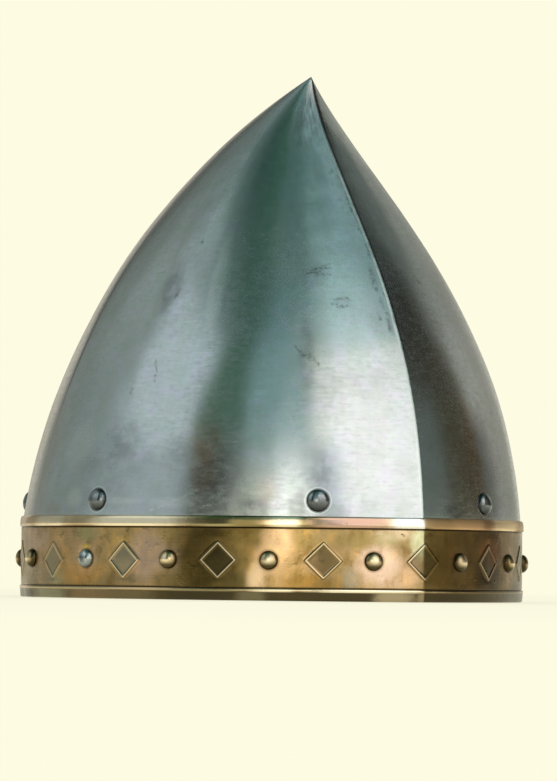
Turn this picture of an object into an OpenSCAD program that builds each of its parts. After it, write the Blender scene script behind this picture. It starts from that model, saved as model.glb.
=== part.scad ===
// Conical riveted helmet: four steel plates that meet in ridges, a studded brass
// brow band, and a riveted leather liner.
// Millimetres. The rim stands on z = 0, the wearer faces -Y, and +Z is up.

/* [Skull] */
// Height of the tip above the rim
skull_height = 216; // [200:1:232]
// Half of the width over the steel at the rim
half_width = 102; // [94:0.5:110]
// From the side ridges forward to the front ridge, at the rim
front_reach = 134; // [122:0.5:142]
// From the side ridges back to the rear ridge, at the rim
rear_reach = 92; // [82:0.5:102]
// Thickness of the steel sheet
steel_thickness = 1.5; // [1:0.1:2]
// Power of the curve from the rim to the tip: higher is fuller
skull_fullness = 2.2; // [1.9:0.05:2.6]
// Steady lean of the ridges towards the front, over the whole height
skull_lean = 18; // [8:0.5:26]
// Extra forward sweep of the tip
tip_sweep = 28; // [10:0.5:36]
// How late the sweep of the tip begins: higher is later
sweep_power = 8.6; // [6:0.2:12]
// Turn of a front plate from the front ridge to the side ridge, in degrees
front_turn = 88; // [78:1:96]
// Turn of a rear plate from the side ridge to the rear ridge, in degrees
rear_turn = 71; // [60:1:78]

/* [Brow band] */
// Height of the brass band
band_height = 33.4; // [28:0.2:38]
// Thickness of the brass sheet
band_thickness = 0.9; // [0.7:0.1:1.3]
// How far the folded hems stand proud of the band
hem_relief = 0.5; // [0.3:0.05:0.8]
// Height of the upper hem
upper_hem = 4.4; // [3.4:0.2:6]
// Height of the lower hem
lower_hem = 4.8; // [3.4:0.2:6]
// Rise of the little step at the edge of a hem
hem_step = 0.2; // [0.1:0.05:0.4]
// Gap between the two butted ends of the band, behind
band_gap = 0.4; // [0.2:0.1:1]
// Width of a lozenge from corner to corner
lozenge_width = 15.2; // [11:0.2:17]
// Height of a lozenge from corner to corner
lozenge_height = 15; // [11:0.2:17]
// How far a lozenge is raised
lozenge_relief = 0.6; // [0.3:0.05:0.9]
// Width of a lozenge's bevelled edge
lozenge_bevel = 1; // [0.6:0.1:1.6]

/* [Rivets] */
// Diameter of a stud's head on the band
stud_diameter = 7.6; // [6:0.1:9]
// Height of a stud's head
stud_dome = 2.7; // [1.8:0.1:3.2]
// Diameter of a stud's shank
stud_shank = 3.2; // [2.4:0.1:4]
// How far the row of studs and lozenges lies below the middle between the hems
row_drop = 1; // [0:0.1:2]
// Diameter of a liner rivet's head
liner_rivet_diameter = 9; // [7.6:0.1:10.4]
// Height of a liner rivet's head
liner_rivet_dome = 2.7; // [1.8:0.1:3.4]
// Diameter of a liner rivet's shank
liner_rivet_shank = 4; // [3:0.1:4.6]
// Height of the liner rivets above the band's upper edge
liner_rivet_rise = 6.2; // [5.4:0.1:12]
// Height of a hammered rivet tail
tail_height = 1.3; // [0.8:0.1:1.8]
// Room between a shank and its hole, on the radius
hole_clearance = 0.05; // [0.02:0.01:0.15]
// Diameter of a washer on the leather
washer_diameter = 10.5; // [9.6:0.1:12]
// Thickness of a washer
washer_thickness = 1; // [0.6:0.1:1.4]

/* [Liner] */
// Thickness of the leather
leather_thickness = 2.4; // [1.8:0.1:3]
// Height of the headband's lower edge above the rim
headband_bottom = 27; // [24:0.5:30]
// Height of the headband
headband_height = 30; // [26:0.5:36]
// Depth from the rim to the top of the head, inside the leather crown
head_depth = 134; // [120:1:142]
// Width of a tongue at its foot
tongue_foot = 62; // [48:1:70]
// Width of a tongue at its tip
tongue_tip = 15; // [12:1:20]
// Angle up the liner's dome at which the tongues end
tongue_end = 76; // [72:1:79]
// Angle up the liner's dome at which the crown patch begins
crown_start = 64; // [60:1:68]
// Room between pieces that lie against each other
seat_gap = 0.2; // [0.1:0.05:0.3]

/* [Hidden] */
// Studs and lozenges alternate at equal steps round the band. They are counted from
// the lozenge on the front ridge: a stud stands on each side ridge.
front_steps = 9;
rear_steps = 7;
all_steps = front_steps + rear_steps;
facets_per_step = 2;
steel_stud = 7;
liner_stations = [2.08, 6.8, 11.4, 16, -11.4, -6.7, -1.94];
seam_station = all_steps - 0.5;
skull_rows = 20;
tongue_rows = 10;
tongue_cols = 6;
foot_inset = 5;
crown_rows = 3;
smooth = 48;
side_ridge_y = (front_reach - rear_reach) / 2;
stud_height = (band_height + lower_hem - upper_hem) / 2 - row_drop;
liner_rivet_height = band_height + liner_rivet_rise;
tip_sink = 1 / sin(atan(skull_height / half_width / skull_fullness));
tail_spread = 1.6;
headband_top = headband_bottom + headband_height;
headband_inset = steel_thickness + seat_gap;
tongue_inset = headband_inset + leather_thickness + seat_gap;
steel_grey = "lightslategray";
brass = "darkgoldenrod";
leather_brown = "saddlebrown";

// Share of the rim's size that is left at height z of a skull that is tall high.
function taper(z, tall) =
    (1 - pow(max(z, band_height) / tall, skull_fullness))
    / (1 - pow(band_height / tall, skull_fullness));

// Place, front to back, of the side ridges at height z.
function ridge_y(z, tall) =
    side_ridge_y
    - skull_lean * (max(z, band_height) - band_height) / (tall - band_height)
    - tip_sweep * pow(max(z, band_height) / tall, sweep_power);

// Point at share t of the circular arc that turns by turn from p to q, in plan.
function arc_point(p, q, turn, t) =
    let (
        along = (q - p) / norm(q - p),
        out = [along.y, -along.x],
        radius = norm(q - p) / 2 / sin(turn / 2),
        a = turn * (t - 0.5)
    )
    (p + q) / 2 + radius * ((cos(a) - cos(turn / 2)) * out + sin(a) * along);

// The skull's height for a surface that lies inset deep in the wall.
function tip_z(inset) = skull_height - tip_sink * inset;

// Steps counted past the rear ridge go on from the other side.
function wrap_step(u) =
    u > all_steps ? u - 2 * all_steps : u < -all_steps ? u + 2 * all_steps : u;

// Point on the skull's surface, inset deep: u counts steps from the front ridge,
// and is negative on the wearer's left (+X).
function skull_point(u, z, inset = 0) =
    let (
        w = wrap_step(u),
        tall = tip_z(inset),
        size = taper(z, tall),
        y = ridge_y(z, tall),
        side = [(half_width - inset) * size, y],
        front = [0, y - (front_reach - inset) * size],
        rear = [0, y + (rear_reach - inset) * size],
        step = abs(w),
        p = step <= front_steps
            ? arc_point(front, side, front_turn, step / front_steps)
            : arc_point(side, rear, rear_turn, (step - front_steps) / rear_steps)
    )
    [w > 0 ? -p.x : p.x, p.y, z];

// The outward direction square to the skull at u and z.
function skull_normal(u, z, inset = 0) =
    let (
        du = 0.05,
        dz = 0.1,
        round = skull_point(u + du, z, inset) - skull_point(u - du, z, inset),
        up = skull_point(u, z + dz, inset) - skull_point(u, z, inset),
        n = cross(up, round)
    )
    n / norm(n);

// Point on the upright skirt under the band, stood off from the steel by out.
function band_point(u, z, out) = skull_point(u, z) + out * skull_normal(u, 0);

function flatten(rows) = [for (row = rows) for (p = row) p];

// Closed solid between two grids of points that face each other. With wrap the
// columns close into a ring, and two tips close the last row to a point.
module skin(front, back, wrap = false, tips = []) {
    rows = len(front);
    cols = len(front[0]);
    back_start = rows * cols;
    front_tip = 2 * back_start;
    back_tip = front_tip + 1;
    strips = wrap ? cols : cols - 1;
    function f(i, j) = i * cols + j % cols;
    function b(i, j) = back_start + f(i, j);
    function quad(p, q, r, s) = [[p, q, r], [p, r, s]];
    walls = [for (i = [0 : rows - 2], j = [0 : strips - 1])
        each concat(
            quad(f(i, j), f(i, j + 1), f(i + 1, j + 1), f(i + 1, j)),
            quad(b(i, j), b(i + 1, j), b(i + 1, j + 1), b(i, j + 1)))];
    foot = [for (j = [0 : strips - 1])
        each quad(f(0, j), b(0, j), b(0, j + 1), f(0, j + 1))];
    top = rows - 1;
    head = len(tips) == 0
        ? [for (j = [0 : strips - 1])
            each quad(f(top, j), f(top, j + 1), b(top, j + 1), b(top, j))]
        : [for (j = [0 : strips - 1])
            each [[f(top, j), f(top, j + 1), front_tip], [b(top, j), back_tip, b(top, j + 1)]]];
    sides = wrap ? [] : [for (i = [0 : rows - 2])
        each concat(
            quad(f(i, 0), f(i + 1, 0), b(i + 1, 0), b(i, 0)),
            quad(f(i, strips), b(i, strips), b(i + 1, strips), f(i + 1, strips)))];
    gables = wrap || len(tips) == 0 ? [] : concat(
        quad(f(top, 0), front_tip, back_tip, b(top, 0)),
        quad(f(top, strips), b(top, strips), back_tip, front_tip));
    polyhedron(concat(flatten(front), flatten(back), tips),
        concat(walls, foot, head, sides, gables), convexity = 10);
}

// Solid swept through a row of closed outlines with the same number of points.
module sweep(outlines) {
    count = len(outlines);
    cols = len(outlines[0]);
    faces = [for (i = [0 : count - 2], j = [0 : cols - 1])
        let (
            a = i * cols + j,
            b = i * cols + (j + 1) % cols
        )
        each [[a, b, b + cols], [a, b + cols, a + cols]]];
    first = [for (j = [cols - 1 : -1 : 0]) j];
    last = [for (j = [0 : cols - 1]) (count - 1) * cols + j];
    polyhedron(flatten(outlines), concat(faces, [first, last]), convexity = 10);
}

// Stands its children at point p with their +Z along direction n.
module stand(p, n) {
    translate(p)
        rotate([0, acos(n.z), atan2(n.y, n.x)])
            children();
}

// Dome of the given base diameter and height, flat face down on z = 0.
module dome(diameter, height) {
    radius = (pow(diameter / 2, 2) + pow(height, 2)) / (2 * height);
    rotate_extrude($fn = smooth)
        intersection() {
            translate([0, height - radius])
                circle(radius, $fn = 2 * smooth);
            square([diameter / 2, height]);
        }
}

// Rivet whose head lies on z = 0 and whose tail is hammered over at z = -grip.
module rivet(diameter, height, shank, grip) {
    dome(diameter, height);
    translate([0, 0, -grip])
        cylinder(d = shank, h = grip, $fn = smooth);
    translate([0, 0, -grip])
        mirror([0, 0, 1])
            dome(shank * tail_spread, tail_height);
}

// Every place of a stud on the band: the odd steps, on both sides.
stud_steps = [for (k = [1 : 2 : all_steps - 1]) each [k, -k]];
// Every place of a lozenge on the band: the even steps.
lozenge_steps = concat([for (k = [2 : 2 : all_steps - 1]) each [k, -k]], [0, all_steps]);

module at_studs(steps, out = 0) {
    for (u = steps)
        stand(band_point(u, stud_height, out), skull_normal(u, 0))
            children();
}

// Depth of the headband's inner face under a washer at step u: the deepest place
// under its middle and its edges, because the leather is hollow there.
function leather_depth(u) =
    let (
        h = liner_rivet_height,
        reach = washer_diameter / 2 / norm(skull_point(u + 0.5, h) - skull_point(u - 0.5, h))
    )
    max([for (side = [-reach, 0, reach])
        (skull_point(u, h) - skull_point(u + side, h, headband_inset + leather_thickness))
        * skull_normal(u, h)]);

// Stands its children on the skull at each liner rivet. $seat is the washer's depth.
module at_liner_rivets() {
    for (u = liner_stations) {
        $seat = leather_depth(u) + seat_gap + washer_thickness;
        stand(skull_point(u, liner_rivet_height), skull_normal(u, liner_rivet_height))
            children();
    }
}

module stud_holes() {
    at_studs(stud_steps)
        translate([0, 0, -2 * steel_thickness])
            cylinder(d = stud_shank + 2 * hole_clearance,
                h = 2 * steel_thickness + 3 * band_thickness, $fn = smooth);
}

module liner_rivet_holes() {
    at_liner_rivets()
        cylinder(d = liner_rivet_shank + 2 * hole_clearance, h = 2 * $seat, center = true,
            $fn = smooth);
}

// One quarter of the skull, from step first to step last.
module plate(first, last) {
    heights = concat([0], [for (i = [0 : skull_rows - 1]) sin(90 * i / skull_rows)]);
    function row_z(i, inset) = i == 0 ? 0 : band_height + (tip_z(inset) - band_height) * heights[i];
    function grid(inset) = [for (i = [0 : skull_rows])
        [for (u = [first : 1 / facets_per_step : last]) skull_point(u, row_z(i, inset), inset)]];
    function tip(inset) = [0, ridge_y(tip_z(inset), tip_z(inset)), tip_z(inset)];
    color(steel_grey)
        difference() {
            skin(grid(0), grid(steel_thickness), tips = [tip(0), tip(steel_thickness)]);
            stud_holes();
            liner_rivet_holes();
        }
}

module front_right_plate() {
    plate(0, front_steps);
}

module front_left_plate() {
    plate(-front_steps, 0);
}

module rear_right_plate() {
    plate(front_steps, all_steps);
}

module rear_left_plate() {
    plate(-all_steps, -front_steps);
}

// Section of the band: how far each corner stands off the steel, and its height.
band_face = band_thickness;
hem_face = band_thickness + hem_relief;
band_section = [
    [0, 0],
    [0, band_height],
    [0.3 * hem_face, band_height],
    [0.8 * hem_face, band_height - 0.2 * upper_hem],
    [hem_face, band_height - 0.5 * upper_hem],
    [hem_face, band_height - upper_hem],
    [band_face, band_height - upper_hem - hem_step],
    [band_face, lower_hem + hem_step],
    [hem_face, lower_hem - hem_step],
    [hem_face, 0.2 * lower_hem],
    [0.7 * hem_face, 0],
];

// Raised lozenge at step u: two bevelled halves that follow the band's bend.
module lozenge(u) {
    step = norm(skull_point(1, 0) - skull_point(0, 0));
    reach = lozenge_width / 2 / step;
    inner = 1 - 2 * lozenge_bevel / lozenge_width;
    root = band_face / 2;
    crest = band_face + lozenge_relief;
    function corners(share, out) = [
        band_point(u - share * reach, stud_height, out),
        band_point(u, stud_height + share * lozenge_height / 2, out),
        band_point(u + share * reach, stud_height, out),
        band_point(u, stud_height - share * lozenge_height / 2, out),
    ];
    polyhedron(concat(corners(1, root), corners(1, band_face), corners(inner, crest)), [
        [0, 1, 3], [1, 2, 3],
        [8, 11, 9], [9, 11, 10],
        for (ring = [0, 4], j = [0 : 3])
            let (
                a = ring + j,
                b = ring + (j + 1) % 4
            )
            each [[a, b + 4, b], [a, a + 4, b + 4]],
    ]);
}

module brow_band() {
    step = norm(skull_point(1, 0) - skull_point(0, 0));
    half_gap = band_gap / 2 / step;
    steps = concat([-seam_station + half_gap],
        [for (u = [-seam_station + 0.5 : 1 / facets_per_step : all_steps]) u],
        [all_steps + 0.5 - half_gap]);
    color(brass)
        difference() {
            union() {
                sweep([for (u = steps) [for (corner = band_section) band_point(u, corner.y, corner.x)]]);
                for (u = lozenge_steps)
                    lozenge(u);
            }
            stud_holes();
        }
}

module stud() {
    rivet(stud_diameter, stud_dome, stud_shank, band_thickness + steel_thickness);
}

module band_studs() {
    color(brass)
        at_studs([for (u = stud_steps) if (u != steel_stud) u], band_thickness)
            stud();
}

module band_steel_stud() {
    color(steel_grey)
        at_studs([steel_stud], band_thickness)
            stud();
}

module liner_rivets() {
    color(steel_grey)
        at_liner_rivets()
            rivet(liner_rivet_diameter, liner_rivet_dome, liner_rivet_shank, $seat);
}

module liner_washers() {
    color(steel_grey)
        at_liner_rivets()
            translate([0, 0, -$seat])
                difference() {
                    cylinder(d = washer_diameter, h = washer_thickness, $fn = smooth);
                    translate([0, 0, -washer_thickness])
                        cylinder(d = liner_rivet_shank + 2 * hole_clearance,
                            h = 3 * washer_thickness, $fn = smooth);
                }
}

module liner_headband() {
    heights = [headband_bottom, band_height, liner_rivet_height,
        (liner_rivet_height + headband_top) / 2, headband_top];
    steps = [for (u = [-all_steps + 1 / facets_per_step : 1 / facets_per_step : all_steps]) u];
    function grid(inset) = [for (z = heights) [for (u = steps) skull_point(u, z, inset)]];
    color(leather_brown)
        difference() {
            skin(grid(headband_inset), grid(headband_inset + leather_thickness), wrap = true);
            liner_rivet_holes();
        }
}

// Middle of the liner's crown, over which the tongues close.
crown_y = ridge_y(headband_top, skull_height) - side_ridge_y;

// Point on the liner's dome at step u and at the given angle up it. Below zero the
// angle counts millimetres down the headband.
function liner_point(u, angle, inset) =
    angle <= 0
    ? skull_point(u, headband_top + angle, inset)
    : let (
        rise = head_depth - headband_top + tongue_inset + leather_thickness - inset,
        wall = skull_point(u, headband_top + rise * sin(angle), inset)
    )
    [cos(angle) * wall.x, crown_y + cos(angle) * (wall.y - crown_y), wall.z];

// Leather tongue that is sewn into the headband round step middle.
module liner_tongue(middle) {
    foot = headband_height - 2 * foot_inset;
    angles = concat([-foot, -foot / 2],
        [for (i = [0 : tongue_rows]) tongue_end * i / tongue_rows]);
    function width(angle) =
        tongue_foot + (tongue_tip - tongue_foot) * pow(sin(max(angle, 0)) / sin(tongue_end), 2);
    function step(angle) = norm(liner_point(middle + 0.5, angle, tongue_inset)
        - liner_point(middle - 0.5, angle, tongue_inset));
    function half_steps(angle) = width(angle) / 2 / step(angle);
    function grid(inset) = [for (angle = angles) [for (j = [0 : tongue_cols])
        liner_point(middle + half_steps(angle) * (2 * j / tongue_cols - 1), angle, inset)]];
    color(leather_brown)
        skin(grid(tongue_inset), grid(tongue_inset + leather_thickness));
}

// The seven tongues stand between the liner rivets.
function tongue_middle(n) =
    let (
        a = liner_stations[n - 1],
        b = liner_stations[n % 7],
        far = b < a && n < 7 ? b + 2 * all_steps : b
    )
    (a + far) / 2;

// Leather patch over the tips of the tongues.
module liner_crown() {
    angles = [for (i = [0 : crown_rows - 1]) crown_start + (88 - crown_start) * i / crown_rows];
    steps = [for (u = [-all_steps + 1 / facets_per_step : 1 / facets_per_step : all_steps]) u];
    outside = tongue_inset - leather_thickness - seat_gap;
    inside = tongue_inset - seat_gap;
    function grid(inset) = [for (angle = angles) [for (u = steps) liner_point(u, angle, inset)]];
    function tip(inset) = [0, crown_y, head_depth + tongue_inset + leather_thickness - inset];
    color(leather_brown)
        skin(grid(outside), grid(inside), wrap = true, tips = [tip(outside), tip(inside)]);
}

front_right_plate();
front_left_plate();
rear_right_plate();
rear_left_plate();
brow_band();
band_studs();
band_steel_stud();
liner_rivets();
liner_washers();
liner_headband();
liner_tongue(tongue_middle(1));  // liner_tongue_1
liner_tongue(tongue_middle(2));  // liner_tongue_2
liner_tongue(tongue_middle(3));  // liner_tongue_3
liner_tongue(tongue_middle(4));  // liner_tongue_4
liner_tongue(tongue_middle(5));  // liner_tongue_5
liner_tongue(tongue_middle(6));  // liner_tongue_6
liner_tongue(tongue_middle(7));  // liner_tongue_7
liner_crown();
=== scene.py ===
import functools
import math

import bmesh
import bpy
import numpy as np
from mathutils import Matrix, Vector


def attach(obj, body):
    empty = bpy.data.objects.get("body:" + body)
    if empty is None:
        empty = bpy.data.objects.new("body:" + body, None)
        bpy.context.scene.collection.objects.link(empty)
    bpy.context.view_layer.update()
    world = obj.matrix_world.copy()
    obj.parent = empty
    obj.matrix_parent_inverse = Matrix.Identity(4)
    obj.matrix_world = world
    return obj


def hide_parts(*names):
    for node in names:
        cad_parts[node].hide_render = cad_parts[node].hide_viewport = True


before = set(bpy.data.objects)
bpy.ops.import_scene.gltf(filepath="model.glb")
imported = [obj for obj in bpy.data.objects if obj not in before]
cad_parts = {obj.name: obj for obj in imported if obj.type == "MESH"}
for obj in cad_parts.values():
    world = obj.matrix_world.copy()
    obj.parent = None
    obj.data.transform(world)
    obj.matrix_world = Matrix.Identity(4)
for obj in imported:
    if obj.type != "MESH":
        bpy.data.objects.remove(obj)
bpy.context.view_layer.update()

MM = 0.001

# The helmet's form
# The same numbers as the solids, in millimetres.
SKULL_HEIGHT = 216.0
HALF_WIDTH = 102.0
FRONT_REACH = 134.0
REAR_REACH = 92.0
STEEL = 1.5
FULLNESS = 2.2
LEAN = 18.0
SWEEP = 28.0
SWEEP_POWER = 8.6
FRONT_TURN = math.radians(88)
REAR_TURN = math.radians(71)
FRONT_STEPS = 9
ALL_STEPS = 16
SIDE_RIDGE_Y = (FRONT_REACH - REAR_REACH) / 2
TIP_SINK = 1 / math.sin(math.atan(SKULL_HEIGHT / HALF_WIDTH / FULLNESS))
STEP_LENGTH = 20.8

BAND_HEIGHT = 33.4
BAND_FACE = 0.9
STUD_HEIGHT = 15.9
STEEL_STUD = 7
SEAM = 15.5
BAND_GAP = 0.4

RIVET_HEIGHT = 39.6
RIVET_STATIONS = [2.08, 6.8, 11.4, 16, -11.4, -6.7, -1.94]
WASHER_DIAMETER = 10.5
WASHER_THICKNESS = 1.0
LEATHER = 2.4
GAP = 0.2
HEADBAND_BOTTOM = 27.0
HEADBAND_TOP = 57.0
HEAD_DEPTH = 134.0
HEADBAND_INSET = STEEL + GAP
TONGUE_INSET = HEADBAND_INSET + LEATHER + GAP
TONGUE_FOOT = 62.0
TONGUE_TIP = 15.0
TONGUE_END = 76.0
CROWN_START = 64.0


def taper(z, tall):
    """Share of the rim's size that is left at height z."""
    z = np.maximum(z, BAND_HEIGHT)
    return (1 - (z / tall) ** FULLNESS) / (1 - (BAND_HEIGHT / tall) ** FULLNESS)


def ridge_y(z, tall):
    """Place, front to back, of the side ridges at height z."""
    z = np.maximum(z, BAND_HEIGHT)
    lean = LEAN * (z - BAND_HEIGHT) / (tall - BAND_HEIGHT)
    return SIDE_RIDGE_Y - lean - SWEEP * (z / tall) ** SWEEP_POWER


def plan_arc(p, q, turn, share):
    """Point at a share of the arc that turns by turn from p to q."""
    chord = np.hypot(q[0] - p[0], q[1] - p[1])
    along = ((q[0] - p[0]) / chord, (q[1] - p[1]) / chord)
    radius = chord / 2 / math.sin(turn / 2)
    a = turn * (share - 0.5)
    bulge = radius * (np.cos(a) - math.cos(turn / 2))
    slide = radius * np.sin(a)
    return ((p[0] + q[0]) / 2 + bulge * along[1] + slide * along[0],
            (p[1] + q[1]) / 2 - bulge * along[0] + slide * along[1])


def skull_point(u, z, inset=0.0):
    """Point of the skull, inset deep. u counts steps from the front ridge, + on the wearer's right."""
    u, z, inset = np.broadcast_arrays(np.asarray(u, float), np.asarray(z, float),
                                      np.asarray(inset, float))
    w = (u + ALL_STEPS) % (2 * ALL_STEPS) - ALL_STEPS
    step = np.abs(w)
    tall = SKULL_HEIGHT - TIP_SINK * inset
    size = taper(z, tall)
    zero = np.zeros_like(inset)
    front = (zero, -(FRONT_REACH - inset))
    side = (HALF_WIDTH - inset, zero)
    rear = (zero, REAR_REACH - inset)
    fx, fy = plan_arc(front, side, FRONT_TURN, np.minimum(step / FRONT_STEPS, 1))
    rx, ry = plan_arc(side, rear, REAR_TURN,
                      np.maximum(step - FRONT_STEPS, 0) / (ALL_STEPS - FRONT_STEPS))
    x = np.where(step <= FRONT_STEPS, fx, rx) * size
    y = np.where(step <= FRONT_STEPS, fy, ry) * size + ridge_y(z, tall)
    return np.stack([np.where(w > 0, -x, x), y, z + 0 * x], axis=-1)


def unit(v):
    return v / np.linalg.norm(v, axis=-1, keepdims=True)


def skull_normal(u, z, inset=0.0):
    """The outward direction square to the skull."""
    around = skull_point(u + 0.05, z, inset) - skull_point(np.asarray(u) - 0.05, z, inset)
    up = skull_point(u, np.asarray(z) + 0.1, inset) - skull_point(u, z, inset)
    return unit(np.cross(up, around))


def band_point(u, z, out):
    """Point on the upright skirt under the band, stood off from the steel by out."""
    return skull_point(u, z) + np.asarray(out)[..., None] * skull_normal(u, np.zeros_like(u))


CROWN_Y = float(ridge_y(HEADBAND_TOP, SKULL_HEIGHT)) - SIDE_RIDGE_Y


def liner_point(u, angle, inset):
    """Point of the liner's dome at an angle up it; below zero it is mm down the headband."""
    u, angle, inset = np.broadcast_arrays(np.asarray(u, float), np.asarray(angle, float),
                                          np.asarray(inset, float))
    a = np.radians(np.maximum(angle, 0))
    rise = HEAD_DEPTH - HEADBAND_TOP + TONGUE_INSET + LEATHER - inset
    wall = skull_point(u, HEADBAND_TOP + np.minimum(angle, 0) + rise * np.sin(a), inset)
    x = np.cos(a) * wall[..., 0]
    y = np.where(angle > 0, CROWN_Y + np.cos(a) * (wall[..., 1] - CROWN_Y), wall[..., 1])
    return np.stack([x, y, wall[..., 2]], axis=-1)


def hammer_waves(points, size, depth, seed):
    """Low waves that planishing leaves in sheet: a depth for each point, in mm."""
    rng = np.random.default_rng(seed)
    total = np.zeros(points.shape[:-1])
    for _ in range(9):
        way = unit(rng.normal(size=3)) * 2 * math.pi / (size * rng.uniform(0.6, 1.7))
        total += np.sin(points @ way + rng.uniform(0, 2 * math.pi))
    return depth * total / 3


# Meshes
def add_object(name, data):
    made = bpy.data.objects.new(name, data)
    bpy.context.scene.collection.objects.link(made)
    return made


def hold(made, node):
    """Rides a finished piece on the helmet, in its solid's place."""
    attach(made, "root")
    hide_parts(node)


def piece(name, vertices, faces, material, uv, crease, values):
    """A mesh object from millimetre points, smooth, with sharp edges over the crease angle."""
    mesh = bpy.data.meshes.new(name)
    mesh.from_pydata((np.asarray(vertices) * MM).tolist(), [], faces)
    for label, data in values.items():
        layer = mesh.attributes.new(label, "FLOAT", "POINT")
        layer.data.foreach_set("value", np.asarray(data, np.float32))
    layer = mesh.uv_layers.new(name="surface")
    corners = np.empty(len(mesh.loops), np.int32)
    mesh.loops.foreach_get("vertex_index", corners)
    layer.data.foreach_set("uv", (uv[corners] * MM).astype(np.float32).ravel())
    mesh.polygons.foreach_set("use_smooth", [True] * len(mesh.polygons))
    mesh.set_sharp_from_angle(angle=math.radians(crease))
    mesh.validate()
    mesh.update()
    mesh.materials.append(material)
    return add_object(name, mesh)


def shell(name, front, back, material, uv, crease, ring=False, tips=None, marks=None):
    """Closed shell between two grids of points, its edges sharp over the crease angle."""
    rows, cols = front.shape[:2]
    n = rows * cols
    strips = cols if ring else cols - 1

    def f(i, j):
        return i * cols + j % cols

    def b(i, j):
        return n + f(i, j)

    faces = []
    for i in range(rows - 1):
        for j in range(strips):
            faces.append((f(i, j), f(i + 1, j), f(i + 1, j + 1), f(i, j + 1)))
            faces.append((b(i, j), b(i, j + 1), b(i + 1, j + 1), b(i + 1, j)))
    top = rows - 1
    for j in range(strips):
        faces.append((f(0, j), f(0, j + 1), b(0, j + 1), b(0, j)))
        if tips is None:
            faces.append((f(top, j), b(top, j), b(top, j + 1), f(top, j + 1)))
        else:
            faces.append((f(top, j), 2 * n, f(top, j + 1)))
            faces.append((b(top, j), b(top, j + 1), 2 * n + 1))
    if not ring:
        for i in range(rows - 1):
            faces.append((f(i, 0), b(i, 0), b(i + 1, 0), f(i + 1, 0)))
            faces.append((f(i, strips), f(i + 1, strips), b(i + 1, strips), b(i, strips)))
        if tips is not None:
            faces.append((f(top, 0), b(top, 0), 2 * n + 1, 2 * n))
            faces.append((f(top, strips), 2 * n, 2 * n + 1, b(top, strips)))
    points = [front.reshape(-1, 3), back.reshape(-1, 3)]
    flat = [uv.reshape(-1, 2), uv.reshape(-1, 2)]
    if tips is not None:
        points.append(np.asarray(tips, float))
        flat.append(np.repeat(uv[-1].mean(0)[None], 2, axis=0))
    flat = np.concatenate(flat)
    values = {label: stained(flat, places) for label, places in (marks or {}).items()}
    return piece(name, np.concatenate(points), faces, material, flat, crease, values)


def stained(flat, places):
    """How strongly the marks in a list show at points of a piece's own map, from 0 to 1."""
    total = np.zeros(len(flat))
    for u, z, reach_along, reach_up, strength in places:
        away = np.hypot((flat[:, 0] - u * STEP_LENGTH) / reach_along, (flat[:, 1] - z) / reach_up)
        part = np.clip((away - 0.2) / 0.9, 0, 1)
        total = np.maximum(total, strength * (1 - part * part * (3 - 2 * part)))
    return total


def outward(made):
    """Turns every face of a closed piece outwards."""
    work = bmesh.new()
    work.from_mesh(made.data)
    bmesh.ops.remove_doubles(work, verts=work.verts, dist=1e-6)
    bmesh.ops.recalc_face_normals(work, faces=work.faces)
    work.to_mesh(made.data)
    work.free()
    made.data.update()
    return made


# Nodes
def operator(name, swapped=False):
    """A method that joins a value to another, or changes it, with the named sum."""
    def method(self, other=0.0):
        return self.sums(name, *((other, self) if swapped else (self, other)))
    return method


class Value:
    """A node's output, which is added, multiplied and so on as a plain number is."""

    __add__ = operator("ADD")
    __sub__ = operator("SUBTRACT")
    __rsub__ = operator("SUBTRACT", swapped=True)
    __mul__ = operator("MULTIPLY")
    __truediv__ = operator("DIVIDE")
    __abs__ = operator("ABSOLUTE")

    def __init__(self, socket, sums):
        self.socket = socket
        self.sums = sums


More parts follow.
